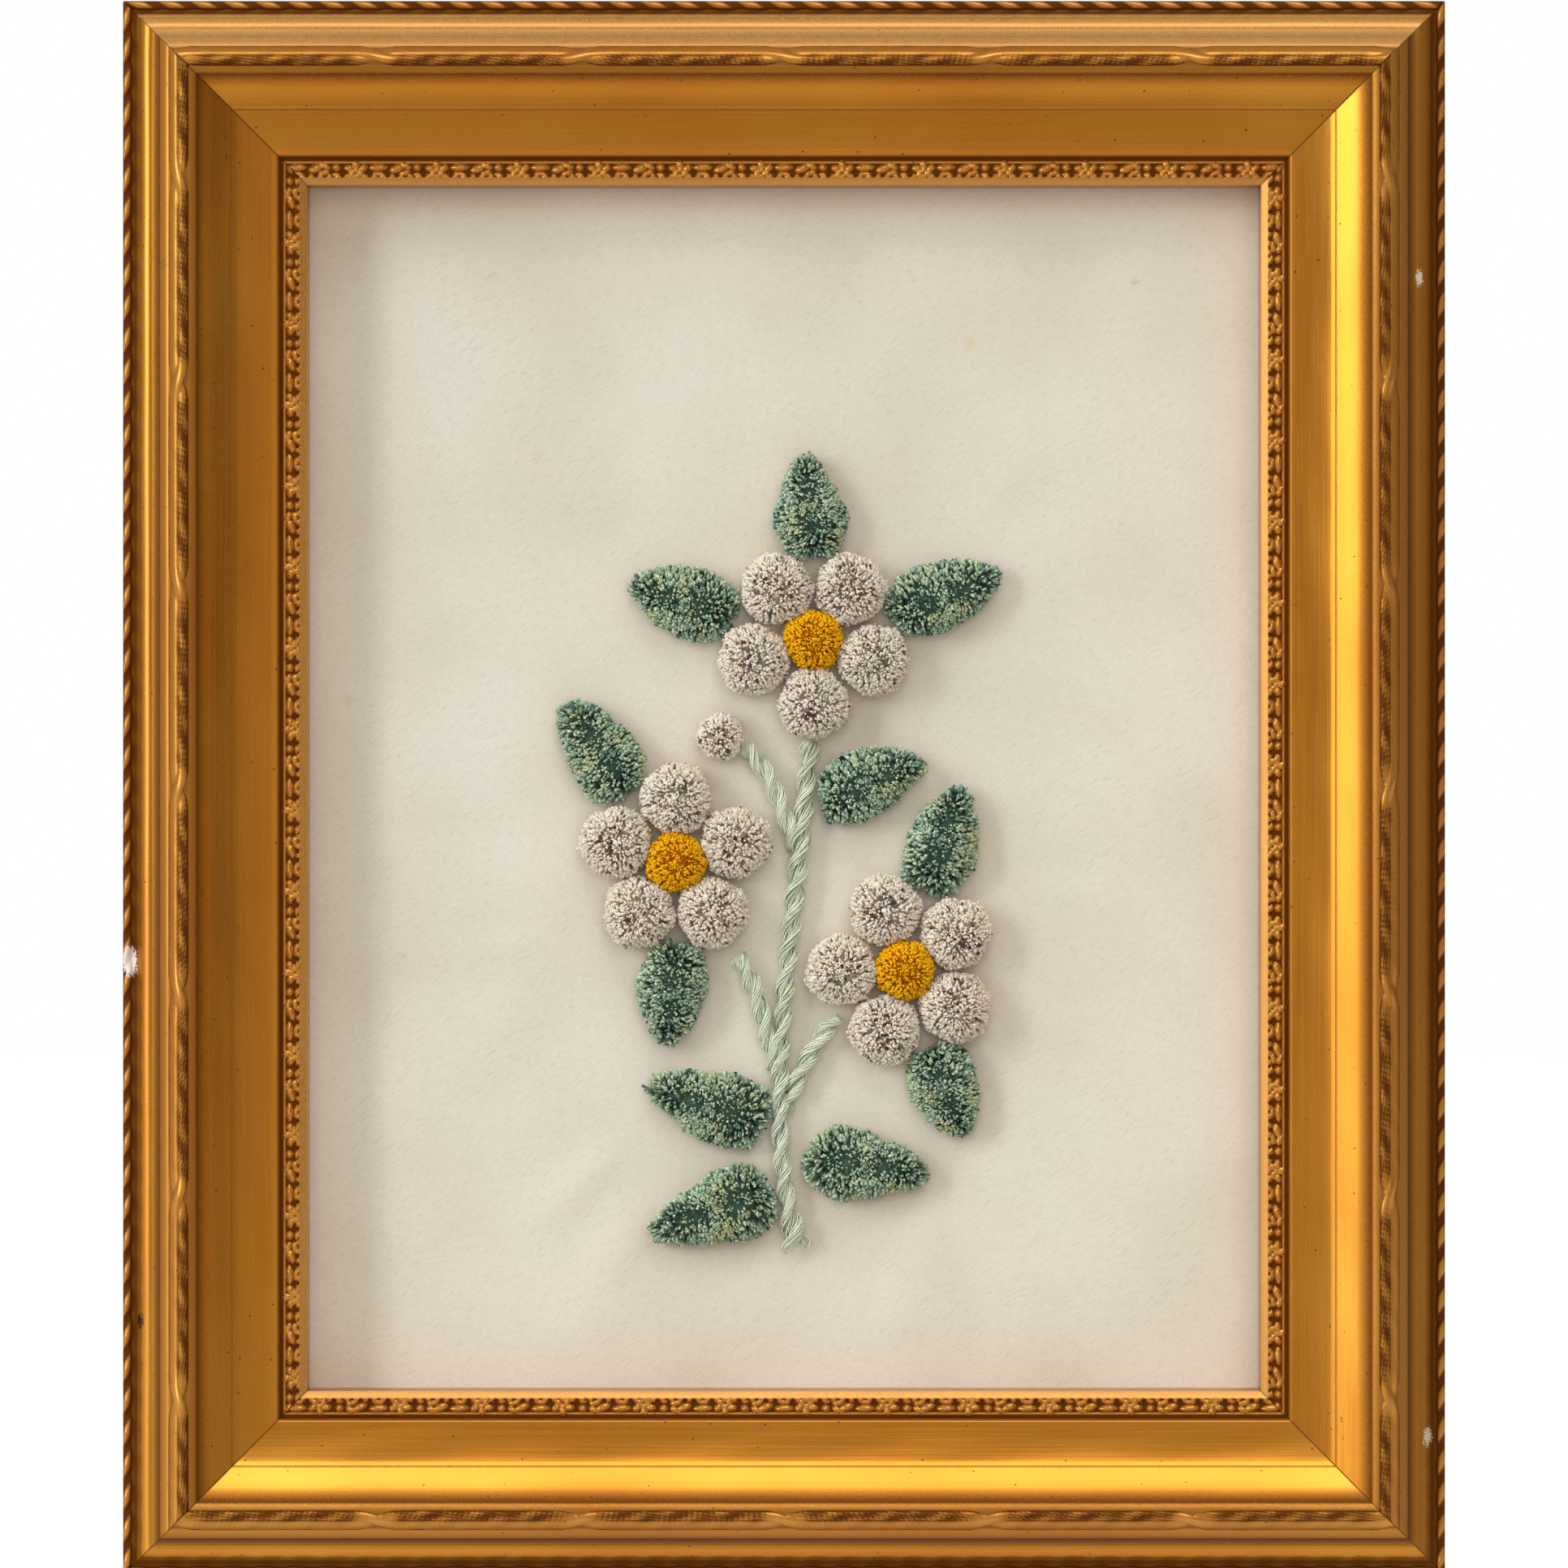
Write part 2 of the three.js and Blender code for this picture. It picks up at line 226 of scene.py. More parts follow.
# %% Sky
ROOM_GLOW = (0.33, 0.3, 0.265)
FIELDS = [  # direction, half width and fade in degrees, and what the field adds
    ((-0.92, -0.39, 0.1), 18, 14, (3.0, 3.25, 3.3)),
    ((0.1, -0.43, 0.9), 20, 14, (2.3, 2.45, 2.5)),
    ((1.0, 0.0, 0.0), 60, 30, (-0.15, -0.14, -0.12)),
    ((0.25, -1.0, -0.15), 34, 34, (0.2, 0.18, 0.15)),
]
world = bpy.data.worlds.new("studio")
bpy.context.scene.world = world
world.use_nodes = True
world.node_tree.nodes.clear()
add = adder(world.node_tree)
looking = add("TexCoord", {}, "Generated")
glow = add("CombineXYZ", dict(enumerate(ROOM_GLOW)))
for towards, half_width, fade, adds in FIELDS:
    towards = tuple(np.array(towards) / np.linalg.norm(towards))
    facing = add("VectorMath DOT_PRODUCT", {0: looking, 1: towards}, "Value")
    rim, full = (math.cos(math.radians(half_width + part * fade)) for part in (0.5, -0.5))
    share = add("MapRange", {0: facing, "interpolation_type": "SMOOTHSTEP", "range": (rim, full)})
    glow = add("VectorMath MULTIPLY_ADD", {0: share, 1: adds, 2: glow})
soft_sky = add("Background", {"Color": glow})
plain_white = add("Background", {"Color": WHITE})
seen = add("LightPath", {})
mixed = add("MixShader", {0: seen, 1: soft_sky, 2: plain_white})
add("OutputWorld", {"Surface": mixed})
bpy.context.scene.view_settings.view_transform = "Standard"
print("glowing fields in the sky:", len(FIELDS))

# %% [markdown]
# Floor. The picture hangs, so the plain pale floor lies a little below it and only closes the
# view from above. It glows faintly, which keeps it as white as the photograph's background, and
# a little more near the frame, since the top rail's scoop shows a light band from below.

# %% Floor
FLOOR_DROP, FLOOR_HALF = 0.06, 6.0
GLOW_STARTS_Y, GLOW_IS_FULL_Y = -0.2, -0.08
GLOW_NEAR_FRAME, GLOW_FOR_CAMERA = 0.35, 0.75
floor_z = cad_low.z - FLOOR_DROP
floor_mesh = bpy.data.meshes.new("floor")
corners = [(x * FLOOR_HALF, y * FLOOR_HALF, floor_z) for x, y in ((-1, -1), (1, -1), (1, 1), (-1, 1))]
floor_mesh.from_pydata(corners, [], [(0, 1, 2, 3)])
floor = bpy.data.objects.new("floor", floor_mesh)
bpy.context.scene.collection.objects.link(floor)
floor_paint, add, surface = new_material("matt_white_floor_paint")
seen = add("LightPath", {})
position = add("NewGeometry", {})
far_out = add("SeparateXYZ", {0: position}, "Y")
glow_limits = (GLOW_STARTS_Y, GLOW_IS_FULL_Y, 0.0, GLOW_NEAR_FRAME)
near_glow = add("MapRange", {0: far_out, "range": glow_limits})
glow = add("Mix", {0: seen, 2: near_glow, 3: GLOW_FOR_CAMERA}, 0)
look = {"Base Color": "#BDBBB8", "Roughness": 0.9, "Emission Color": WHITE, "Emission Strength": glow}
set_up(surface, look)
floor_mesh.materials.append(floor_paint)
floor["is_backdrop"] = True
print("floor at", round(floor_z / MM), "mm")

# %% [markdown]
# The moulding's section. A frame maker buys moulding by its profile, so the profile is the
# driving shape. From the outer edge inwards its members are a bead, a quirk, two strips with a
# cove between them, the bed of the reed, a fillet, the wide scoop, a crease, a slope, a step,
# the bed of the ornament, and the bevel at the sight edge. Each member is a curve that runs on
# from the last one. Wax says how much dark toning has stayed at its two ends, most in the quirks.
# The scoop starts no steeper than 50 degrees, since a steeper one would mirror the cloth. On the
# upper scoop, from the fillet to 18.4 mm across, the wax is painted shade, fading out inwards.

# %% Moulding section
OUTER_WALL_HEIGHT = 16.2
RAIL_WIDTH, REBATE_WIDTH = 37.2, 5.6
CLOTH_THICK, FIT_GAP = 1.2, 0.3
MITRE_GAP = 0.06
MOULDING = [  # member, where it ends: across and height, bulge, wax at its two ends, dust
    ("bead bed", 2.6, 16.8, 0.0, 1.0, 1.0, 0.0),
    ("quirk", 3.0, 17.0, 0.0, 0.9, 0.9, 0.0),
    ("outer strip", 6.0, 20.1, 0.78, 0.4, 0.1, 0.1),
    ("cove", 7.8, 22.3, -0.45, 0.6, 1.0, 0.1),
    ("inner strip", 9.8, 25.0, 0.45, 0.6, 0.4, 0.2),
    ("reed bed", 13.7, 28.1, 1.1, 0.8, 0.8, 0.2),
    ("fillet", 15.1, 27.5, 0.1, 0.6, 0.6, 0.1),
    ("upper scoop", 18.4, 24.15, -0.14, 1.0, 0.0, 0.0),
    ("lower scoop", 22.0, 21.55, -0.14, 0.0, 0.0, 0.0),
    ("crease top", 22.15, 21.4, 0.0, 0.6, 0.6, 0.0),
    ("crease", 22.5, 21.25, 0.0, 0.6, 0.6, 0.0),
    ("facet", 23.4, 20.75, -0.02, 0.0, 0.0, 0.0),
    ("slope", 30.9, 18.2, -0.12, 0.0, 0.0, 0.0),
    ("lip", 31.3, 18.1, 0.06, 0.2, 0.4, 0.1),
    ("step", 31.8, 16.9, 0.0, 1.0, 1.0, 0.0),
    ("ornament bed", 35.7, 16.9, 0.0, 1.0, 1.0, 0.0),
    ("sight lip", 35.9, 17.4, 0.0, 0.3, 0.3, 0.5),
    ("sight bevel", RAIL_WIDTH, 16.4, 0.06, 0.3, 0.3, 0.65),
]
STEPS_PER_CURVE = 8

outer_size = cad_high - cad_low
cloth_low, cloth_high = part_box("ground_cloth")
lip_back = -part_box("backing_board")[0].y / MM + FIT_GAP + CLOTH_THICK + FIT_GAP


def moulding_front():
    """The section's face from the outer edge inwards: across, height, wax and painted shade, and dust at each
    point.
    """
    rows = [(0.0, OUTER_WALL_HEIGHT, 0.6, 0.0)]
    for _, end_across, end_height, bulge, wax_and_shade_from, wax_and_shade_to, dust in MOULDING:
        across, height = rows[-1][:2]
        middle_across = (across + end_across) / 2
        middle_height = (height + end_height) / 2 + 2 * bulge
        curve = ((across, middle_across, end_across), (height, middle_height, end_height))
        for t in np.linspace(0, 1, 1 + (STEPS_PER_CURVE if bulge else 1))[1:]:
            place = [(1 - t) ** 2 * a + 2 * t * (1 - t) * b + t**2 * c for a, b, c in curve]
            rows.append((*place, (1 - t) * wax_and_shade_from + t * wax_and_shade_to, dust))
    return np.array(rows)


face_line = moulding_front()
print("points in the moulding's face:", len(face_line), "lip back at", round(lip_back, 2), "mm")

# %% [markdown]
# The four rails. Each rail runs along one side and is cut at 45 degrees. A point of a rail is
# named by three lengths: along the rail, across it from the outer edge, and its height above
# the wall. One small function puts such points into the frame for any of the four sides, so the
# rails and all that is stuck on them are made alike, as a frame maker cuts them off one length.

# %% Rail places
RAILS = {
    "rail_top": {"out": (0, 1), "run": (1, 0), "long": outer_size.x / MM},
    "rail_right": {"out": (1, 0), "run": (0, -1), "long": outer_size.z / MM},
    "rail_bottom": {"out": (0, -1), "run": (-1, 0), "long": outer_size.x / MM},
    "rail_left": {"out": (-1, 0), "run": (0, 1), "long": outer_size.z / MM},
}


def in_frame(rail, along, across, height):
    out, run = np.array(rail["out"]), np.array(rail["run"])
    reach = np.abs(out) @ np.array([outer_size.x, outer_size.z]) / 2
    x = out[0] * (reach - across * MM) + run[0] * along * MM
    z = middle_z + out[1] * (reach - across * MM) + run[1] * along * MM
    return np.stack([x, -height * MM, z], axis=-1)


def half_length(rail, across):
    return rail["long"] / 2 - across - MITRE_GAP / math.sqrt(2)


def tube_faces(rings, sides):
    """Quads between rings of points, each ring closed, and one face over each end."""
    ring, side = np.meshgrid(np.arange(rings - 1), np.arange(sides), indexing="ij")
    start = ring * sides + side
    ahead = ring * sides + (side + 1) % sides
    quads = np.stack([start, ahead, ahead + sides, start + sides], axis=-1).reshape(-1, 4)
    ends = [list(range(sides))[::-1], list(range((rings - 1) * sides, rings * sides))]
    return [list(quad) for quad in quads] + ends


# %% [markdown]
# Moulding bodies. The wood is planed by machine, but gesso and gilding are rubbed by hand, so a
# long highlight on the scoop wavers a little. The face moves up and down by under a tenth of a
# millimetre, in slow waves along the rail. The top rail's outer members get a dusty tone, which is
# partly dust and partly painted shade. On the other rails the upper scoop's wax is raised, and the
# right rail's outer members get more wax colour: both are painted shade. Back, rebate and outer
# wall are plain.

# %% Moulding bodies
RUB_DEPTH = 0.07
RAIL_STATIONS = 60
OUTER_MEMBERS, SCOOP_TOP = (2.9, 9.9), (15.1, 18.4)
TOP_DUST_AND_SHADE, RIGHT_OUTER_SHADE, SCOOP_SHADE_POWER = 0.75, 0.65, 0.6
SHARP_DEGREES = 38
GILT, OCHRE, BARE = 0, 1, 2


def rubbed(along, across, seed):
    slow = np.sin(along / 17 + seed) * np.sin(across / 3.1 + seed * 2)
    quick = 0.5 * np.sin(along / 6.3 + 2.2 * seed + across / 2)
    return RUB_DEPTH * (slow + quick)


def rail_section():
    """Closed section: outer wall, face, sight wall, rebate and back. Last column is the finish."""
    face = [(*row, GILT) for row in face_line]
    inner = RAIL_WIDTH - REBATE_WIDTH
    wall = [(0.0, 0.0, 0.0, 0.0, OCHRE), (0.0, OUTER_WALL_HEIGHT - 0.6, 0.5, 0.0, OCHRE)]
    sight = [(RAIL_WIDTH, lip_back, 0.2, 0.2, BARE), (inner, lip_back, 0.0, 0.0, BARE)]
    return np.array(wall + face + sight + [(inner, 0.0, 0.0, 0.0, BARE)])


def on_rail(rail, share, along, across, heights, wax, dust):
    """Places on a rail as points in the frame, and the values that the gilding reads there."""
    values = {"wax": wax, "dust": dust, "cut": half_length(rail, across) * (1 - np.abs(share)) * MM}
    values = {key: np.broadcast_to(value, along.shape).ravel() for key, value in values.items()}
    values["run_place"] = np.stack([along, across, heights], axis=-1).reshape(-1, 3) * MM
    return in_frame(rail, along, across, heights).reshape(-1, 3), values


def rail_body(name, rail, seed, materials):
    section = rail_section()
    across, height, wax, dust, finish = section.T
    outer, in_scoop = ((across > start) & (across < end) for start, end in (OUTER_MEMBERS, SCOOP_TOP))
    # Painted shade: a dust tone that also dims the top rail's outer members, and stronger scoop wax on the
    # other rails.
    if name == "rail_top":
        dust = np.where(outer, TOP_DUST_AND_SHADE, dust)
    else:
        wax = np.where(in_scoop, wax**SCOOP_SHADE_POWER, wax)
    # Painted shade: more wax colour on the right rail's outer members, which face away from the lights.
    if name == "rail_right":
        wax = np.where(outer, np.maximum(wax, RIGHT_OUTER_SHADE), wax)
    share = np.linspace(-1, 1, RAIL_STATIONS)[:, None]
    along = share * half_length(rail, across)[None, :]
    wide = np.broadcast_to(across, along.shape)
    heights = height[None, :] + np.where(finish == GILT, rubbed(along, wide, seed), 0)
    points, values = on_rail(rail, share, along, wide, heights, wax, dust)
    faces = tube_faces(RAIL_STATIONS, len(section))
    finishes = [*np.tile(finish, RAIL_STATIONS - 1).astype(int), BARE, BARE]
    piece_name = name.replace("rail", "moulding")
    body = new_piece(piece_name, points, faces, materials, [name], values, finishes)
    body.data.set_sharp_from_angle(angle=math.radians(SHARP_DEGREES))
    return body


# %% [markdown]
# Gilding. The frame is wood under gesso and brown bole, gilt with metal leaf, then toned with
# shellac and dark wax. To the eye that is a satin metal: warm yellow where it catches the light,
# brown where it doesn't, darker in every quirk, dusty on the outer members and the ornament, with
# faint rubbed streaks, pin-prick specks, and bole showing at a few knocks. A metal keeps its
# default IOR. Leaf that is burnished by hand has a roughness near 0.3, and wax raises it. Streaks
# are about 0.6 mm wide and 40 mm long, specks about 0.4 mm, which is as fine as the render can
# show.

# %% Gilding material
STREAK_WIDTH, STREAK_LENGTH = 0.6 * MM, 40 * MM
MITRE_LINE = 0.22 * MM
SPECK_SIZE, CLOUD_SIZE = 0.4 * MM, 60 * MM

KNOCK_HEIGHT = 19.0
KNOCKS = [  # rail, along, across, radius, colour
    ("rail_left", 105.6, 9.0, 1.5, "#2A1408"),
    ("rail_left", -107.5, 3.4, 1.2, "#3A1A0A"),
    ("rail_left", -35.0, 1.4, 1.9, "#EDE0D6"),
    ("rail_right", -103.0, 5.5, 1.1, "#E6D2BA"),
    ("rail_right", 131.0, 3.6, 1.2, "#E3CDB4"),
]


def drawn_out_noise(add, place, length, width, settings):
    """Noise that is long one way, as brush strokes, wood grain and nap are."""
    squeezed = add("VectorMath MULTIPLY", {0: place, 1: (1 / length, 1 / width, 1 / width)})
    return add("TexNoise", {"Scale": 1.0, "Vector": squeezed, **settings})


def ragged_spot(add, position, centre, squash, edge, depth, limits):
    """A share that falls off round a centre, with an outline that a noise makes ragged."""
    offset = add("VectorMath SUBTRACT", {0: position, 1: centre})
    flat = add("VectorMath MULTIPLY", {0: offset, 1: squash})
    distance = add("VectorMath LENGTH", {0: flat}, "Value")
    ragged = add("Math MULTIPLY_ADD", {0: edge, 1: depth, 2: distance})
    return add("MapRange", {0: ragged, "range": limits})


def gilding():
    material, add, surface = new_material("metal_leaf_with_wax_and_painted_shade")
    place = add("Attribute", {"attribute_name": "run_place"}, "Vector")
    wax, cut, dust = (add("Attribute", {"attribute_name": key}) for key in ("wax", "cut", "dust"))
    streak = drawn_out_noise(add, place, STREAK_LENGTH, STREAK_WIDTH, {"Detail": 4.0, "Roughness": 0.6})
    cloud = add("TexNoise", {"Vector": place, "Scale": 1 / CLOUD_SIZE, "Detail": 5.0})
    grain = add("TexNoise", {"Vector": place, "Scale": 1 / SPECK_SIZE, "Detail": 3.0})
    leaf_tones = [(0.3, "#D98722"), (0.5, "#E19229"), (0.7, "#E79D32")]
    leaf_tone = add("ValToRGB", {0: cloud, "stops": leaf_tones})
    rub = add("ValToRGB", {0: streak, "stops": [(0.3, "#D2A77C"), (0.55, WHITE)]})
    rubbed_leaf = add("Mix RGBA", {"blend_type": "MULTIPLY", 0: 0.12, 6: leaf_tone, 7: rub})
    wax_edge = add("Math MULTIPLY_ADD", {0: grain, 1: 0.9, 2: -0.28})
    cut_line = add("MapRange", {0: cut, "range": (MITRE_LINE * 0.4, MITRE_LINE, 0.85, 0.0)})
    wax = add("Math MAXIMUM", {0: wax, 1: cut_line})
    wax_and_shade_cover = add("Math ADD", {"use_clamp": True, 0: wax, 1: wax_edge})
    wax_and_shade_share = add("Math MULTIPLY", {"use_clamp": True, 0: wax_and_shade_cover, 1: wax})
    # The wax colour mixed in here is toning, and also painted shade on the upper scoop, the right rail's outer
    # members and the reed band's inner side.
    darkened_leaf = add("Mix RGBA", {0: wax_and_shade_share, 6: rubbed_leaf, 7: "#5E300C"})
    speck = add("TexVoronoi", {"Vector": place, "Scale": 1 / (6 * SPECK_SIZE)})
    speck_mask = add("ValToRGB", {0: speck, "stops": [(0.05, WHITE), (0.11, BLACK)]})
    speck_tone = speck.node.outputs["Color"]
    rare = add("ValToRGB", {0: speck_tone, "stops": [(0.55, BLACK), (0.62, WHITE)]})
    speck_share = add("Math MULTIPLY", {0: speck_mask, 1: rare})
    speckled = add("Mix RGBA", {0: speck_share, 6: darkened_leaf, 7: "#5B3314"})
    dust_edge = add("MapRange", {0: grain, "range": (0.35, 0.65, 0.5, 1.0)})
    dust_share = add("Math MULTIPLY", {"use_clamp": True, 0: dust, 1: dust_edge})
    colour = add("Mix RGBA", {0: dust_share, 6: speckled, 7: "#D0A062"})
    position = add("NewGeometry", {})
    bare_share = 0.0
    for name, along, across, radius, knocked in KNOCKS:
        centre = tuple(in_frame(RAILS[name], *map(np.array, (along, across, KNOCK_HEIGHT))))
        limits = (radius * MM + 0.6 * MM, radius * MM + 0.9 * MM, 1.0, 0.0)
        share = ragged_spot(add, position, centre, (1.0, 0.25, 0.5), grain, 2.2 * MM, limits)
        colour = add("Mix RGBA", {0: share, 6: colour, 7: knocked})
        bare_share = add("Math MAXIMUM", {0: bare_share, 1: share})
    waxed = add("Math MULTIPLY_ADD", {0: wax_and_shade_share, 1: -0.7, 2: 0.95})
    metal = add("Math MULTIPLY_ADD", {"use_clamp": True, 0: dust_share, 1: -0.9, 2: waxed})
    metal_left = add("Math SUBTRACT", {"use_clamp": True, 0: metal, 1: bare_share})
    satin = add("MapRange", {0: streak, "range": (0.3, 0.7, 0.22, 0.3)})
    rough = add("Math MULTIPLY_ADD", {0: wax_and_shade_share, 1: 0.25, 2: satin})
    fine = add("Math MULTIPLY_ADD", {0: grain, 1: 0.6, 2: streak})
    relief = add("Bump", {"Height": fine, "Strength": 0.045, "Distance": 0.25 * MM})
    shellac = add("Math MULTIPLY_ADD", {0: wax_and_shade_share, 1: -0.3, 2: 0.3})
    set_up(surface, {"Base Color": colour, "Metallic": metal_left, "Roughness": rough, "Normal": relief})
    set_up(surface, {"Coat Weight": shellac, "Coat Roughness": 0.3})
    set_up(surface, {"Specular IOR Level": 0.25, "Specular Tint": "#E0A868"})
    return material


gilt = gilding()

# %% [markdown]
# The sides and the back. Frame makers leave the back as planed softwood and brush the outer wall
# with the ochre size that lies under the leaf. Both are matt. Wood grain runs along the rail: its
# growth lines are 1.2 mm apart and far longer than the rail is wide.

# %% Side and back materials
GRAIN_GAP, GRAIN_LENGTH = 1.2 * MM, 90 * MM


def planed_softwood():
    material, add, surface = new_material("planed_softwood")
    place = add("Attribute", {"attribute_name": "run_place"}, "Vector")
    lines = drawn_out_noise(add, place, GRAIN_LENGTH, GRAIN_GAP, {"Detail": 6.0, "Distortion": 0.4})
    wood_tones = [(0.3, "#8A6238"), (0.5, "#B08A57"), (0.7, "#C6A473")]
    tone = add("ValToRGB", {0: lines, "stops": wood_tones})
    relief = add("Bump", {"Height": lines, "Strength": 0.3, "Distance": 0.15 * MM})
    set_up(surface, {"Base Color": tone, "Normal": relief, "Roughness": 0.78})
    return material


def ochre_size():
    material, add, surface = new_material("brushed_ochre_size")
    place = add("Attribute", {"attribute_name": "run_place"}, "Vector")
    strokes = drawn_out_noise(add, place, STREAK_LENGTH, STREAK_WIDTH, {"Detail": 5.0})
    size_tones = [(0.3, "#6E431B"), (0.55, "#9A682D"), (0.75, "#B07E3C")]
    tone = add("ValToRGB", {0: strokes, "stops": size_tones})
    set_up(surface, {"Base Color": tone, "Roughness": 0.6, "Metallic": 0.15})
    return material


softwood = planed_softwood()
ochre = ochre_size()
for number, (name, rail) in enumerate(RAILS.items()):
    rail_body(name, rail, number + 1, [gilt, ochre, softwood])
print("rails:", len(RAILS), "with", RAIL_STATIONS, "stations each")

# %% [markdown]
# Pressed ornament. The bead, the reed band and the leaf band aren't carved: they are strips of
# putty-like composition, pressed in moulds, stuck down and gilt with the rest. So each strip is
# a body of its own on the moulding. Its top is a height field: a formula gives the height for a
# place along and across the strip, and its bottom is flat and sunk into the bed. The wax value
# is worked out from the same formula, since toning stays where the pattern is low.


# %% Strips with a height field
def pattern_strips(word, start, end, columns, step, height_of, wax_and_shade_of, floor_height):
    """One strip on each of the four rails, named by the word, between two lines across the rail."""
    across = np.linspace(start, end, columns)
    closing = np.array([end, start])
    for name, rail in RAILS.items():
        stations = int(rail["long"] / step)
        share = np.linspace(-1, 1, stations)[:, None]
        along = share * half_length(rail, across)[None, :]
        wide = np.broadcast_to(across, along.shape)
        heights = height_of(along, wide)
        wax = np.clip(wax_and_shade_of(along, wide, heights), 0, 1)
        low_along = share * half_length(rail, closing)[None, :]
        flat = np.ones(low_along.shape)
        below = (low_along, closing * flat, floor_height * flat, flat)
        joined = [np.concatenate(pair, axis=1) for pair in zip((along, wide, heights, wax), below)]
        points, values = on_rail(rail, share, *joined, 0.4 * (1 - joined[3]))
        faces = tube_faces(stations, columns + 2)
        new_piece(name.replace("rail", word), points, faces, [gilt], [], values)


def soft_step(value, low, high):
    t = np.clip((value - low) / (high - low), 0, 1)
    return t * t * (3 - 2 * t)


# %% [markdown]
# The twist bead is a single thread of 6.5 mm pitch on a half-round bead 1.9 mm wide: slanting
# ridges, rubbed bright on their crests, with dark hollows between them.

# %% Twist bead
BEAD_WIDTH, BEAD_RISE, TWIST_PITCH = 1.9, 1.4, 6.5
BEAD_FLOOR, BEAD_BED = 15.4, 16.3


def bead_twist(along, across):
    place = np.clip((across / BEAD_WIDTH) * 2 - 1, -1, 1)
    return place, np.abs(np.cos(np.pi * (along / TWIST_PITCH - place * 0.22)))


def bead_height(along, across):
    place, twist = bead_twist(along, across)
    return BEAD_BED + BEAD_RISE * np.sqrt(np.clip(1 - place**2, 0, 1)) * (0.45 + 0.55 * twist**2)


def bead_wax(along, across, height):
    place, twist = bead_twist(along, across)
    ridge = soft_step(twist, 0.55, 0.95) * soft_step(np.abs(place + 0.2), 0.95, 0.4)
    return 1.0 - 0.7 * ridge


pattern_strips("bead", 0.0, BEAD_WIDTH, 9, 0.5, bead_height, bead_wax, BEAD_FLOOR)
print("turns of the bead on the top rail:", round(RAILS["rail_top"]["long"] / TWIST_PITCH))

# %% [markdown]
# The reed band is two long reeds that lie side by side and change places every 41 mm, one over
# the other. The upper one is the higher there, and at each crossing it is rubbed the brightest.
# Toning stays in the line between the reeds and in mottled patches on the inner one, and the
# band's inner side is darkened further as painted shade.

# %% Reed band
REED_START, REED_END, REED_FLOOR = 9.6, 14.1, 22.0
CROSS_PITCH, CROSS_LENGTH = 41.0, 2.5
REED_APART, REED_WIDE = 0.45, 0.55


def reed_parts(along, across):
    place = (across - REED_START) / (REED_END - REED_START) * 2 - 1
    crossing = np.floor(along / CROSS_PITCH + 0.5)
    from_cross = along - crossing * CROSS_PITCH
    swing = REED_APART * np.tanh(from_cross / CROSS_LENGTH) * np.where(crossing % 2 == 0, 1, -1)
    near = np.exp(-((from_cross / (1.3 * CROSS_LENGTH)) ** 2))
    over, under = (
        np.sqrt(np.clip(1 - ((place - side * swing) / REED_WIDE) ** 2, 0, 1)) for side in (1, -1)
    )
    return place, over, under, near


def mottle(along, across):
    """A patchy value from 0 to 1, from waves whose lengths share no common measure."""
    long_waves = np.sin(along * 0.83 + across * 1.9) * np.sin(along * 0.31 - across * 0.7 + 1.1)
    short_waves = np.sin(along * 3.7 - across * 4.3) * np.sin(along * 2.3 + across * 6.1 + 0.6)
    return np.clip(0.5 + 0.35 * long_waves + 0.35 * short_waves, 0, 1)


def reed_height(along, across):
    _, over, under, near = reed_parts(along, across)
    bed = np.interp(across, face_line[:, 0], face_line[:, 1]) - 0.35
    narrow = 1 - 0.35 * near
    return bed + np.maximum(over**narrow * (1 + 0.35 * near), under * (0.95 - 0.3 * near))


def reed_wax_and_shade(along, across, height):
    place, over, under, near = reed_parts(along, across)
    high = np.maximum(over, under * (1 - 0.35 * near))
    patches = 0.75 * mottle(along, across) * (0.35 + 0.65 * soft_step(place, -0.3, 0.2)) * (1 - 0.6 * near)
    # Painted shade: the band's inner side, turned from the light on the left and top rails.
    inner = 0.25 * soft_step(place, 0.0, 0.4) * (1 - near)
    return 1.0 - 0.7 * soft_step(high, 0.35, 0.9) - 0.45 * near + patches + inner


pattern_strips("reeds", REED_START, REED_END, 21, 0.6, reed_height, reed_wax_and_shade, REED_FLOOR)
print("reed crossings every", CROSS_PITCH, "mm")

# %% [markdown]
# The leaf band at the sight edge repeats every 16.4 mm: a long bead, a leafy tuft, a round bead
# and a rosette, under a fine ridge and over a scalloped lip. The figures are many overlapping
# swellings, joined by taking the highest of them. Moulds wear and leaf rubs off, so each
# figure's height differs a little from its neighbours', and the deep places stay dark.

# %% Leaf band figures
BAND_START, BAND_END, BAND_FLOOR = 32.0, 35.9, 16.6
BAND_BED, BAND_RISE = 16.8, 1.1
BAND_MIDDLE = 34.2
RIDGE_ACROSS, LIP_ACROSS = 32.7, 35.4
FIGURE_PITCH, SCALLOP_PITCH = 16.4, 1.82
LOBES = [  # place along and across, turn in degrees, length, width, height
    (0.0, 0.45, 3, 1.9, 0.72, 1.0),
    (0.1, -0.85, -6, 1.3, 0.5, 0.6),
    (3.7, 0.2, 22, 1.5, 0.8, 0.9),
    (5.6, 0.75, -24, 1.15, 0.66, 0.85),
    (5.4, -0.65, 14, 1.15, 0.6, 0.7),
    (7.9, 0.45, 0, 0.8, 0.75, 1.0),
    (7.8, -0.95, 10, 0.75, 0.45, 0.55),
    (11.9, 0.0, 15, 0.6, 0.55, 0.8),
]
PETALS, PETAL_OUT = 5, 1.2
ROSETTE_AT = 11.9


def turned(right, up, degrees):
    """A place as seen from a line at some angle: how far along it, and how far aside."""
    c, s = math.cos(math.radians(degrees)), math.sin(math.radians(degrees))
    return right * c + up * s, up * c - right * s


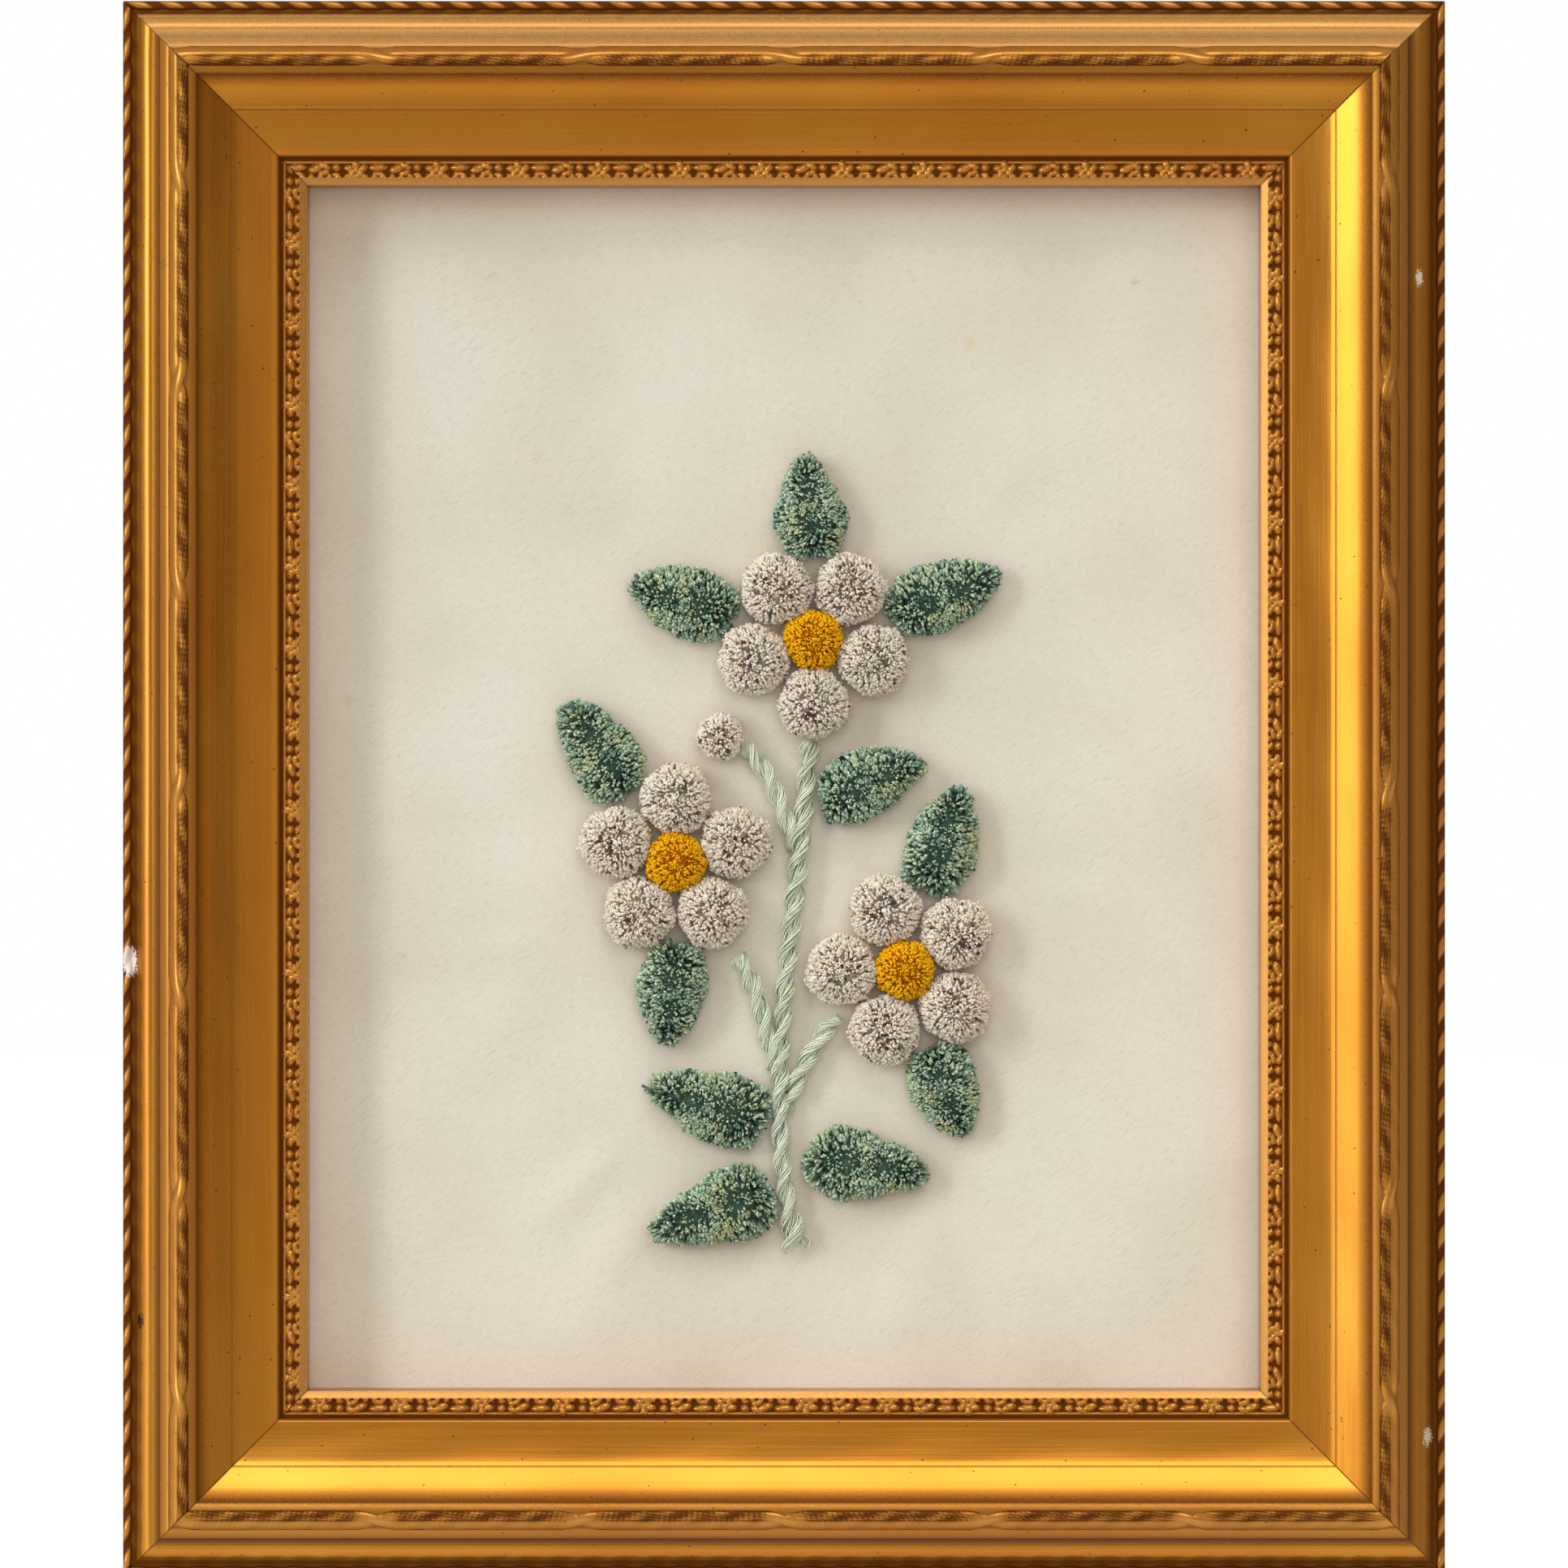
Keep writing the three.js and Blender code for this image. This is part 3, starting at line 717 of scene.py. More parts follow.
def bump(along, across, lobe):
    """A leaf-shaped swelling, as high as the lobe says in its middle and 0 at its rim."""
    at_along, at_across, degrees, length, width, height = lobe
    lengthwise, sidewise = turned(along - at_along, across - at_across, degrees)
    return height * np.clip(1 - (lengthwise / length) ** 2 - (sidewise / width) ** 2, 0, 1) ** 0.65


def rosette_lobes():
    petals = []
    for k in range(PETALS):
        degrees = 20 + 360 * k / PETALS
        right, up = math.cos(math.radians(degrees)), math.sin(math.radians(degrees))
        at = (ROSETTE_AT + 1.25 * PETAL_OUT * right, PETAL_OUT * up * 0.85)
        petals.append((*at, degrees + 20, 0.95, 0.7, 0.85))
    return petals


def band_figures(along, across):
    side = BAND_MIDDLE - across
    repeat = np.floor(along / FIGURE_PITCH)
    far = along - repeat * FIGURE_PITCH
    worn = 0.88 + 0.1 * np.sin(repeat * 2.4 + 1.7) + 0.14 * np.sin(along * 0.9) * np.sin(along * 0.31)
    lobes = LOBES + rosette_lobes()
    shapes = [bump(far - start, side, lobe) for lobe in lobes for start in (0, FIGURE_PITCH)]
    return worn * np.maximum.reduce(shapes)


print("swellings in one repeat:", len(LOBES) + PETALS)

# %% Leaf band
def band_height(along, across):
    ridge = 0.35 * np.exp(-(((across - RIDGE_ACROSS) / 0.2) ** 2))
    from_notch = (along / SCALLOP_PITCH + 0.5) % 1 - 0.5
    notch = 1 - soft_step(np.hypot(from_notch / 0.34, (across - LIP_ACROSS + 0.1) / 0.5), 0.75, 1.1)
    lip = 0.7 * soft_step(across, LIP_ACROSS - 0.45, LIP_ACROSS - 0.1) * (1 - notch)
    return BAND_BED + 0.05 + np.maximum.reduce([BAND_RISE * band_figures(along, across), ridge, lip])


def band_wax(along, across, height):
    stays = 0.25 * mottle(along * 1.7, across * 1.3)
    return 1.0 - 1.15 * soft_step(height, BAND_BED + 0.05, BAND_BED + 0.45) + stays


pattern_strips("leafband", BAND_START, BAND_END, 21, 0.34, band_height, band_wax, BAND_FLOOR)
print("ornament strips:", 3 * len(RAILS))

# %% [markdown]
# The ground cloth. It is one piece, stretched on its board, of a cream stuff with a short soft
# nap, as brushed hide or felt has. The tufting draws it in, so shallow puckers run out from the
# spray, strongest below. The sheet is a grid with the imported solid's own puckers, and a few
# creases placed where the photograph shows them. A simulation would only find the same
# flat sheet, so the folds are set by formula.

# %% Ground cloth shape
SIGHT_WIDTH, SIGHT_HEIGHT = 193, 244
SPRAY_HALF_WIDTH, SPRAY_HALF_HEIGHT, SPRAY_MIDDLE_Z = 47, 82, -13
PUCKER_HEIGHT, PUCKERS_AROUND = 0.8, 11
CLOTH_CELL = 1.9
CREASES = [  # x, z, direction in degrees, length, width, rise
    (-32, -72, 222, 34, 6.0, 0.7),
    (-24, -86, 245, 26, 4.5, -0.6),
    (34, -70, -48, 30, 5.0, 0.55),
    (-50, -30, 200, 26, 5.5, 0.5),
    (50, -20, 350, 22, 5.0, 0.4),
    (20, -96, 285, 20, 4.0, 0.5),
    (-34, 52, 130, 24, 6.0, 0.4),
    (40, 56, 55, 22, 6.0, 0.35),
]
SCRATCHES = [(48.6, -94.5, 82, 11), (50.4, -92.5, 80, 9)]  # x, z, direction, length


def pucker(x, z):
    across, up = x / SPRAY_HALF_WIDTH, (z - SPRAY_MIDDLE_Z) / SPRAY_HALF_HEIGHT
    angle = np.arctan2(up, across)
    start = soft_step(np.hypot(across, up), 1, 1.25)
    edge = soft_step(SIGHT_WIDTH / 2 - np.abs(x), 0, 30) * soft_step(SIGHT_HEIGHT / 2 - np.abs(z), 0, 30)
    wave = np.sin(PUCKERS_AROUND * angle + 0.8) + 0.5 * np.sin((PUCKERS_AROUND + 6) * angle)
    return np.maximum(0, PUCKER_HEIGHT * start * edge * (0.55 - 0.45 * np.sin(angle)) * wave)


def crease(x, z, fold):
    at_x, at_z, degrees, length, width, rise = fold
    ahead, aside = turned(x - at_x, z - at_z, degrees)
    ahead = ahead / length
    aside = aside / (width * (0.4 + 0.6 * np.clip(ahead, 0, 1)))
    body = soft_step(ahead, 0, 0.25) * (1 - soft_step(ahead, 0.55, 1))
    return rise * body * np.exp(-(aside**2))


def scratch(x, z, mark):
    at_x, at_z, degrees, length = mark
    ahead, aside = turned(x - at_x, z - at_z, degrees)
    ahead = ahead / (length / 2)
    return np.clip(1 - ahead**2, 0, 1) * np.exp(-(((aside + 0.6 * ahead**2) / 0.45) ** 2))


print("creases:", len(CREASES), "scratches:", len(SCRATCHES))

# %% [markdown]
# Where the tufts stand, the hair's dye and the shade of its rim leave a faint pinkish halo on the
# cloth. Each grid point stores how close the nearest tuft is, and the material turns that into
# colour.

# %% Ground cloth piece
TUFT_NODES = sorted(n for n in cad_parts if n.startswith(("petal_", "centre_", "leaf_", "bud_")))
HALO_REACH = 2.6


def plan_points(node):
    """The solid's points seen from the front, in millimetres from the middle of the sight opening."""
    points = np.array([v.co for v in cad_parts[node].data.vertices]) / MM
    return np.stack([points[:, 0], points[:, 2] - middle_z / MM], axis=-1)


def halo_at(x, z):
    nearest = np.full(x.shape, 1e3)
    for node in TUFT_NODES:
        for px, pz in plan_points(node)[::3]:
            nearest = np.minimum(nearest, np.hypot(x - px, z - pz))
    return np.exp(-nearest / HALO_REACH)


def ground_cloth(material):
    width, height = (cloth_high.x - cloth_low.x) / MM, (cloth_high.z - cloth_low.z) / MM
    columns, rows = int(width / CLOTH_CELL), int(height / CLOTH_CELL)
    right, up = (np.linspace(-size / 2, size / 2, n) for size, n in ((width, columns), (height, rows)))
    x, z = (grid.ravel() for grid in np.meshgrid(right, up))
    back = -cloth_high.y / MM
    lift = pucker(x, z) + sum(crease(x, z, fold) for fold in CREASES)
    layers = (back + CLOTH_THICK + lift, back + np.maximum(lift, 0))
    points = np.concatenate([np.stack([x * MM, -out * MM, z * MM + middle_z], axis=-1) for out in layers])
    row, column = np.meshgrid(np.arange(rows - 1), np.arange(columns - 1), indexing="ij")
    low = (row * columns + column).ravel()
    quads = np.stack([low, low + 1, low + columns + 1, low + columns], axis=-1)
    count = rows * columns
    along_foot, up_side = np.arange(columns - 1), columns * np.arange(1, rows)
    rim = np.concatenate([along_foot, up_side - 1, count - 1 - along_foot, up_side[::-1]])
    after = np.roll(rim, -1)
    walls = np.stack([rim, rim + count, after + count, after], axis=-1)
    faces = np.concatenate([quads, quads[:, ::-1] + count, walls])
    halo = halo_at(x, z)
    scars = sum(scratch(x, z, mark) for mark in SCRATCHES)
    values = {"halo": np.concatenate([halo, 0 * halo]), "scar": np.concatenate([scars, 0 * scars])}
    cloth = new_piece("ground_nap", points, faces, [material], ["ground_cloth"], values)
    return cloth


# %% [markdown]
# Napped cloth. Brushed fibre has no gloss: roughness near 1, and a little sheen, the light that
# catches the standing ends of a nap. Its colour is a warm cream that has gone a little grey and
# blotchy with age. The nap lies in short slanting strokes, about 0.35 mm wide and 2 mm long, and
# there is a yellow stain and a brown speck above the spray.

# %% Napped cloth material
NAP_WIDTH, NAP_LENGTH, NAP_TURN = 0.35 * MM, 2.0 * MM, 35
BLOTCH_SIZE = 38 * MM
STAINS = [  # x, z, radius, colour, share
    (37.8, 90.5, 2.3, "#DCC48A", 0.75),
    (71.4, 102.8, 1.5, "#B99A6A", 0.7),
    (74.5, 101.8, 0.9, "#B99A6A", 0.5),
    (-14.0, -69.0, 2.0, "#DDC29B", 0.5),
    (60.0, 15.6, 1.6, "#D8BFA0", 0.45),
    (-88.5, 18.0, 2.2, "#C9B599", 0.5),
]


def napped_cloth():
    material, add, surface = new_material("brushed_cream_cloth")
    position = add("TexCoord", {})
    laid = add("Mapping", {"Vector": position, "Rotation": (0, math.radians(NAP_TURN), 0)})
    nap = drawn_out_noise(add, laid, NAP_LENGTH, NAP_WIDTH, {"Detail": 5.0, "Roughness": 0.65})
    blotch = add("TexNoise", {"Vector": position, "Scale": 1 / BLOTCH_SIZE, "Detail": 4.0})
    cloth_tones = [(0.3, "#DDD6C4"), (0.5, "#E4DDCD"), (0.7, "#E8E2D3")]
    cream = add("ValToRGB", {0: blotch, "stops": cloth_tones})
    fibre = add("ValToRGB", {0: nap, "stops": [(0.25, "#D9D3C9"), (0.5, WHITE)]})
    streaked = add("Mix RGBA", {"blend_type": "MULTIPLY", 0: 0.5, 6: cream, 7: fibre})
    halo, scar = (add("Attribute", {"attribute_name": key}) for key in ("halo", "scar"))
    halo_share = add("Math MULTIPLY", {0: halo, 1: 0.4})
    colour = add("Mix RGBA", {0: halo_share, 6: streaked, 7: "#D3B9A6"})
    for x, z, radius, stained, share in STAINS:
        centre = (x * MM, cloth_low.y, z * MM + middle_z)
        limits = (0.9 * MM, 1.2 * MM + radius * MM, share, 0.0)
        share = ragged_spot(add, position, centre, (1.0, 1.0, 1.0), nap, 2.4 * MM, limits)
        colour = add("Mix RGBA", {0: share, 6: colour, 7: stained})
    height = add("Math MULTIPLY_ADD", {0: scar, 1: 2.5, 2: nap})
    relief = add("Bump", {"Height": height, "Strength": 0.35, "Distance": 0.3 * MM})
    set_up(surface, {"Base Color": colour, "Normal": relief, "Roughness": 0.95})
    set_up(surface, {"Sheen Weight": 0.25, "Sheen Roughness": 0.6, "Specular IOR Level": 0.2})
    return material


cloth = ground_cloth(napped_cloth())
print("ground cloth points:", len(cloth.data.vertices))

# %% [markdown]
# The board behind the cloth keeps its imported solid, which is a plain slab as the real one is. It
# gets the look of brown fibreboard: pressed pulp, matt, with flecks about 1.5 mm long.

# %% Fibreboard material
FLECK_SIZE, DAMP_SCALE = 1.5 * MM, 18.0


def pressed_fibreboard():
    material, add, surface = new_material("pressed_fibreboard")
    position = add("TexCoord", {})
    fleck = add("TexNoise", {"Vector": position, "Scale": 1 / FLECK_SIZE, "Detail": 6.0})
    damp = add("TexNoise", {"Vector": position, "Scale": DAMP_SCALE, "Detail": 3.0})
    board_tones = [(0.3, "#7C5F40"), (0.5, "#9C7F5B"), (0.7, "#B09672")]
    tone = add("ValToRGB", {0: fleck, "stops": board_tones})
    stained = add("ValToRGB", {0: damp, "stops": [(0.35, "#C9B79E"), (0.6, WHITE)]})
    colour = add("Mix RGBA", {"blend_type": "MULTIPLY", 0: 0.7, 6: tone, 7: stained})
    relief = add("Bump", {"Height": fleck, "Strength": 0.25, "Distance": 0.1 * MM})
    set_up(surface, {"Base Color": colour, "Normal": relief, "Roughness": 0.85})
    return material


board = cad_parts["backing_board"]
board.data.materials.clear()
board.data.materials.append(pressed_fibreboard())
print("board:", board.data.materials[0].name)

# %% [markdown]
# Hair tufts. A maker ties a pinch of moose hair down on the cloth with one stitch, and it flares
# like a brush. Scissors then round it off. So all hairs of a tuft leave one root and end on a
# dome, and what the eye sees is the blunt ends, light, with dark gaps between them. Blender has
# a hair system, but its strands don't become faces, so each hair here is a slim three-sided
# prism. Only its outer few millimetres are made, over a core that closes the view inwards and is
# painted in the root colour, as shade for the hair within.


# %% Hairs from arrays
def unit(vectors):
    return vectors / np.linalg.norm(vectors, axis=1, keepdims=True)


def prisms(roots, tips, root_radius, tip_radius, spin):
    """Three-sided prisms from roots to tips with their outer ends closed: points and faces."""
    ahead = unit(tips - roots)
    helper = np.where(np.abs(ahead[:, 1:2]) < 0.8, [[0.0, 1.0, 0.0]], [[1.0, 0.0, 0.0]])
    side = unit(np.cross(ahead, helper))
    up = np.cross(ahead, side)
    corners = []
    for base, radius in ((roots, root_radius), (tips, tip_radius)):
        for corner in range(3):
            angle = spin + 2 * np.pi * corner / 3
            out = side * np.cos(angle)[:, None] + up * np.sin(angle)[:, None]
            corners.append(base + out * radius[:, None])
    points = np.stack(corners, axis=1).reshape(-1, 3)
    first = 6 * np.arange(len(roots))[:, None]
    walls = [first + [k, (k + 1) % 3, 3 + (k + 1) % 3, 3 + k] for k in range(3)]
    quads = np.stack(walls, axis=1).reshape(-1, 4)
    caps = first + [3, 4, 5]
    return points, [list(q) for q in quads] + [list(c) for c in caps]


def on_cloth(plan, height):
    """Places plan points (x, z from the sight middle) and heights above the cloth, in metres."""
    front = -(cloth_high.y / MM) + CLOTH_THICK
    return np.stack([plan[:, 0] * MM, -(front + height) * MM, plan[:, 1] * MM + middle_z], axis=-1)


# %% [markdown]
# The dome of a tuft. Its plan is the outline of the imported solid, and its section is a rounded
# pompom: tucked in at the root, fullest at under half its height, and nearly flat on top. Points
# are spread over it by the golden angle, which leaves no rows, and then shaken a little.

# %% Tuft dome
# rise and spread, as shares of the height and the radius
DOME = [(0.02, 0.66), (0.2, 0.93), (0.4, 1.0), (0.62, 0.93), (0.82, 0.73), (0.94, 0.44), (1.0, 0.0)]
GOLDEN_ANGLE = math.pi * (3 - math.sqrt(5))
RIM_ANGLES, RIM_REACH = np.linspace(-np.pi, np.pi, 25), 0.26


def dome_points(count, height, radius, rng):
    """Angle, spread and rise for points that lie evenly on the dome."""
    rise, spread = np.array(DOME).T
    lengths = np.hypot(np.diff(rise) * height, np.diff(spread) * radius)
    rings = lengths * (spread[1:] + spread[:-1]) / 2
    reach = np.concatenate([[0], np.cumsum(rings)])
    wanted = (np.arange(count) + 0.5) / count * reach[-1]
    angle = np.arange(count) * GOLDEN_ANGLE + rng.normal(0, 0.05, count)
    return angle, np.interp(wanted, reach, spread), np.interp(wanted, reach, rise)


def half_turned(angle):
    """The same direction, as an angle from -pi to pi."""
    return (angle + np.pi) % (2 * np.pi) - np.pi


def outline_of(node):
    """Middle of a solid's plan, and a function that gives the rim's distance at each angle."""
    plan = plan_points(node)
    centre = (plan.max(0) + plan.min(0)) / 2
    right, up = (plan - centre).T
    angles, distance = np.arctan2(up, right), np.hypot(right, up)
    rim = np.array([distance[np.abs(half_turned(angles - b)) < RIM_REACH].max() for b in RIM_ANGLES])
    return centre, lambda angle: np.interp(half_turned(angle), RIM_ANGLES, rim)


def out_from(centre, angle, distance):
    return centre + np.stack([np.cos(angle), np.sin(angle)], -1) * distance[:, None]


print("levels in the dome:", len(DOME))

# %% [markdown]
# One builder makes every tuft. Clipped hair stands in small clumps, so each tip is drawn a
# little towards the nearest of some chosen tips, which opens dark cracks between them. The tie
# leaves a pit near the middle of a petal, and a furrow along a leaf, and their hairs are painted
# a little darker, as shade. Round it some hairs are cut short, and show as dark dots. Each hair
# gets a random tone, and two more values: how far along the hair a point is, and how near the
# tuft's middle line it stands. The materials mix their colours from these three.

# %% Tuft builder
HAIR_SHOWN, ROOT_HEIGHT = 3.0, 0.4
SIDE_LEAN = 0.6
CORE_SHARE, CORE_SECTORS = 0.7, 20
CLUMP_SHARE, CLUMP_PULL = 0.2, 0.24
PIT_WIDTH, PIT_DEPTH, PIT_LENGTH = 0.6, 0.5, 2.2
CROWN_WIDTH, SHAFT_SHARE = 1.9, 0.3


def clumped(tips, share, pull, rng):
    """Draws each tip towards the nearest of a few chosen tips. Gives the tips and their clump's tone."""
    chosen = tips[rng.permutation(len(tips))[: int(len(tips) * share)]]
    nearest = np.array([np.argmin(((chosen - tip) ** 2).sum(1)) for tip in tips])
    tones = rng.normal(0, 0.12, len(chosen))
    return tips + (chosen[nearest] - tips) * pull, tones[nearest]


def tuft_core(centre, rim, height):
    angle = np.linspace(-np.pi, np.pi, CORE_SECTORS, endpoint=False)
    rings = []
    for rise, spread in DOME[:-1]:
        plan = out_from(centre, angle, rim(angle) * spread * CORE_SHARE)
        rings.append(on_cloth(plan, np.full(CORE_SECTORS, 0.3 + height * rise * CORE_SHARE)))
    return np.concatenate(rings), [face[::-1] for face in tube_faces(len(rings), CORE_SECTORS)]


def direction(angle):
    return np.array([math.cos(angle), math.sin(angle)])


def along_and_aside(plan, centre, line):
    return (plan - centre) @ line, (plan - centre) @ np.array([-line[1], line[0]])


def tie_marks(plan, centre, line, spine, rng):
    """How deep each tip lies in the tie's pit or furrow, and which hairs show a dark shaft."""
    turn = rng.uniform(0, math.pi)
    if not spine:
        line, centre = direction(turn), centre + rng.uniform(-1.2, 1.2, 2)
    along, aside = along_and_aside(plan, centre, line)
    reach = spine + 1.5 if spine else PIT_LENGTH
    pit = np.exp(-((aside / PIT_WIDTH) ** 2) - (along / reach) ** 4)
    crown = np.exp(-((aside / CROWN_WIDTH) ** 2) - (along / (reach + 1.5)) ** 4)
    return pit, crown * (rng.uniform(0, 1, len(plan)) < SHAFT_SHARE)


def tuft_piece(node, slot, material, count, thickness, seed, spine=0.0, heading=0.0):
    rng = np.random.default_rng(seed)
    height = -(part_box(node)[0].y / MM) - (-(cloth_high.y / MM) + CLOTH_THICK)
    centre, rim = outline_of(node)
    radius = float(np.mean(rim(np.linspace(-np.pi, np.pi, 36))))
    angle, spread, rise = dome_points(count, height, radius, rng)
    uneven = 1 + 0.03 * np.sin(3 * angle + rng.uniform(0, 6)) + 0.025 * np.sin(7 * angle + rng.uniform(0, 6))
    ragged = 1 + rng.normal(0, 0.025, count)
    plan = out_from(centre, angle, rim(angle) * spread * ragged * uneven)
    line = direction(heading)
    pit, shaft_shows = tie_marks(plan, centre, line, spine, rng)
    tips = np.column_stack([plan, height * rise * ragged - PIT_DEPTH * pit - 0.5 * shaft_shows])
    tips, clump_tone = clumped(tips, CLUMP_SHARE, CLUMP_PULL, rng)
    along, aside = along_and_aside(plan, centre, line)
    feet = centre + np.clip(along, -spine, spine)[:, None] * line * 0.85
    roots = np.column_stack([feet, np.full(count, ROOT_HEIGHT)])
    ahead = tips - roots
    length = np.linalg.norm(ahead, axis=1, keepdims=True)
    lean = rng.normal(0, 0.09, (count, 3))
    heading_out = ahead / length * [SIDE_LEAN, SIDE_LEAN, 1.0]
    starts = tips - (heading_out + lean) * np.minimum(length * 0.85, HAIR_SHOWN)
    starts[:, 2] = np.maximum(starts[:, 2], 0.15)
    starts_world, tips_world = (on_cloth(ends[:, :2], ends[:, 2]) for ends in (starts, tips))
    thick = thickness * MM * rng.uniform(0.75, 1.25, count)
    points, faces = prisms(starts_world, tips_world, thick * 0.55, thick, rng.uniform(0, 6.28, count))
    # Painted shade: hairs in the pit or furrow get a darker tone.
    own_tone = rng.uniform(0.06, 1, count) + 0.8 * clump_tone - 0.25 * pit - shaft_shows
    values = {
        "tone": np.repeat(np.clip(own_tone, 0, 1), 6),
        "along": np.tile([0.0, 0.0, 0.0, 1.0, 1.0, 1.0], count),
        "aside": np.repeat(np.abs(aside) / radius, 6),
    }
    core_points, core_faces = tuft_core(centre, rim, height)
    faces = faces + [[i + len(points) for i in face] for face in core_faces]
    # Painted shade: the core gets zero for every value, so its material gives it the root colour.
    dark = np.zeros(len(core_points))
    values = {key: np.concatenate([value, dark]) for key, value in values.items()}
    points = np.concatenate([points, core_points])
    return new_piece(node + "_hair", points, faces, [material], [node], values)


# %% [markdown]
# Hair material. Moose hair is a thick, dry, hollow hair: matt, with a faint gloss along its
# length, so a roughness of 0.6 and the usual IOR of hair, 1.55. Its ends are pale and its shafts
# brown, and dye takes unevenly. One function mixes three things: the hair's own tone from a ramp,
# a darkening towards the root, which is the brown shaft and also painted shade deep among the
# hairs, and patches where neighbouring hairs differ. A little sheen stands for the light that
# passes through pale hair ends.

# %% Hair material
PATCH_SIZE = 5 * MM


def dyed_hair(name, tones, root, patch, patch_from, middle_tone=None, sheen=0.0):
    material, add, surface = new_material(name)
    tone, along = (add("Attribute", {"attribute_name": key}) for key in ("tone", "along"))
    position = add("TexCoord", {})
    own = add("ValToRGB", {0: tone, "stops": tones})
    cloud = add("TexNoise", {"Vector": position, "Scale": 1 / PATCH_SIZE, "Detail": 3.0})
    patch_share = add("MapRange", {0: cloud, "range": (patch_from, patch_from + 0.18, 0.0, 0.7)})
    colour = add("Mix RGBA", {0: patch_share, 6: own, 7: patch})
    if middle_tone:
        aside = add("Attribute", {"attribute_name": "aside"})
        shaken = add("Math MULTIPLY_ADD", {0: tone, 1: 0.5, 2: aside})
        middle_share = add("MapRange", {0: shaken, "range": (0.15, 0.75, 0.3, 0.0)})
        colour = add("Mix RGBA", {0: middle_share, 6: colour, 7: middle_tone})
    # Painted shade as well as the shaft's colour: the root colour takes over towards each hair's root, and on
    # stems where a strand lies less lit.
    depth = add("MapRange", {0: along, "range": (0.1, 0.8, 1.0, 0.0)})
    shaded = add("Mix RGBA", {0: depth, 6: colour, 7: root})
    set_up(surface, {"Base Color": shaded, "Roughness": 0.6, "IOR": 1.55, "Specular IOR Level": 0.2})
    set_up(surface, {"Sheen Weight": sheen, "Sheen Roughness": 0.5, "Sheen Tint": tones[-1][1]})
    return material


grey_hair = dyed_hair(
    "undyed_grey_moose_hair",
    [(0.0, "#4A3C34"), (0.05, "#B5A390"), (0.14, "#E4D6C4"), (0.5, "#F7EBD9"), (1.0, "#FFF6E6")],
    "#E2D3C0",
    "#CDCBBD",
    0.56,
    sheen=0.25,
)
orange_hair = dyed_hair(
    "orange_dyed_moose_hair",
    [(0.0, "#B85C04"), (0.06, "#FFAC04"), (0.5, "#FFC006"), (1.0, "#FFCC10")],
    "#FFBC04",
    "#FFC408",
    0.5,
    sheen=0.9,
)
green_hair = dyed_hair(
    "sage_dyed_moose_hair",
    [(0.0, "#182A24"), (0.12, "#40604F"), (0.35, "#8FB096"), (0.7, "#B9CAAB"), (1.0, "#DFE8CC")],
    "#4C6857",
    "#CDD096",
    0.52,
    "#7A9E8C",
)
print("hair:", grey_hair.name, orange_hair.name, green_hair.name)

# %% [markdown]
# Petals, centres and bud. A petal is 15 mm wide and 8.4 mm high, with 1600 hair ends. They are
# about half a millimetre wide, which is coarser than real hair, so that single ends still show.
# The orange centres are clipped closer, so their hairs are a little finer and stand more densely.
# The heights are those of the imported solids.

# %% Round tufts
PETAL_HAIRS, CENTRE_HAIRS, BUD_HAIRS = 1600, 1300, 750
PETAL_HAIR_THICK, CENTRE_HAIR_THICK = 0.33, 0.3
GREY_NODES = [node for node in TUFT_NODES if node.startswith(("petal_", "bud_"))]
ORANGE_NODES = [node for node in TUFT_NODES if node.startswith("centre_")]

for seed, node in enumerate(GREY_NODES):
    hairs = BUD_HAIRS if node.startswith("bud_") else PETAL_HAIRS
    tuft_piece(node, "grey_hair", grey_hair, hairs, PETAL_HAIR_THICK, 100 + seed)
for seed, node in enumerate(ORANGE_NODES):
    tuft_piece(node, "orange_hair", orange_hair, CENTRE_HAIRS, CENTRE_HAIR_THICK, 200 + seed)
print("round tufts:", len(GREY_NODES + ORANGE_NODES))

# %% [markdown]
# Leaves. A leaf is a row of small pinches of green hair, tied down one after another along its
# middle line and clipped together to a point. So its hairs leave a line instead of one root,
# and along that line the dark shafts show.

# %% Leaves
LEAF_HAIRS, LEAF_HAIR_THICK, SPINE_SHARE = 1800, 0.32, 0.3
LEAF_NODES = [node for node in TUFT_NODES if node.startswith("leaf_")]


def leaf_heading(node):
    plan = plan_points(node)
    far = plan[np.argmax(np.hypot(*(plan - plan.mean(0)).T))]
    return math.atan2(*(far - plan.mean(0))[::-1])


for seed, node in enumerate(LEAF_NODES):
    low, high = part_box(node)
    spine = SPINE_SHARE * math.hypot(high.x - low.x, high.z - low.z) / MM
    look = ("green_hair", green_hair, LEAF_HAIRS, LEAF_HAIR_THICK)
    tuft_piece(node, *look, 300 + seed, spine, leaf_heading(node))
print("leaves:", len(LEAF_NODES))

# %% [markdown]
# Stems. Long hair is twisted in two plies and sewn down along a line. Each ply is a bundle of
# strands that winds round the stem's middle every 12 mm, so it shows as a row of slanting
# lens-shaped swellings. Each strand is a slim three-sided tube along its own path. The routes
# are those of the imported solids, and side stems run on under the main one. At the foot the
# plies open into a small brush.

# %% Stems
STEMS = {  # name: foot, two points that bend it, and tip, as x and z
    "main": ((3, -94), (-5, -66), (1, -40), (5.2, 9.6)),
    "left": ((-1.6, -57.0), (-4.6, -46), (-5.6, -39), (-9.6, -34.2)),
    "right": ((0.2, -65.5), (4, -56), (7, -50), (11.4, -46.4)),
    "bud": ((2.4, -12.5), (-1, -2), (-3, 4), (-7.9, 8.2)),
}
STRANDS_PER_PLY, STRAND_THICK, STRAND_STEP = 26, 0.16, 0.8
PLY_RADIUS, PLY_OFFSET, PLY_PITCH = 1.0, 0.95, 12.0
STEM_MIDDLE_HEIGHT = 2.1


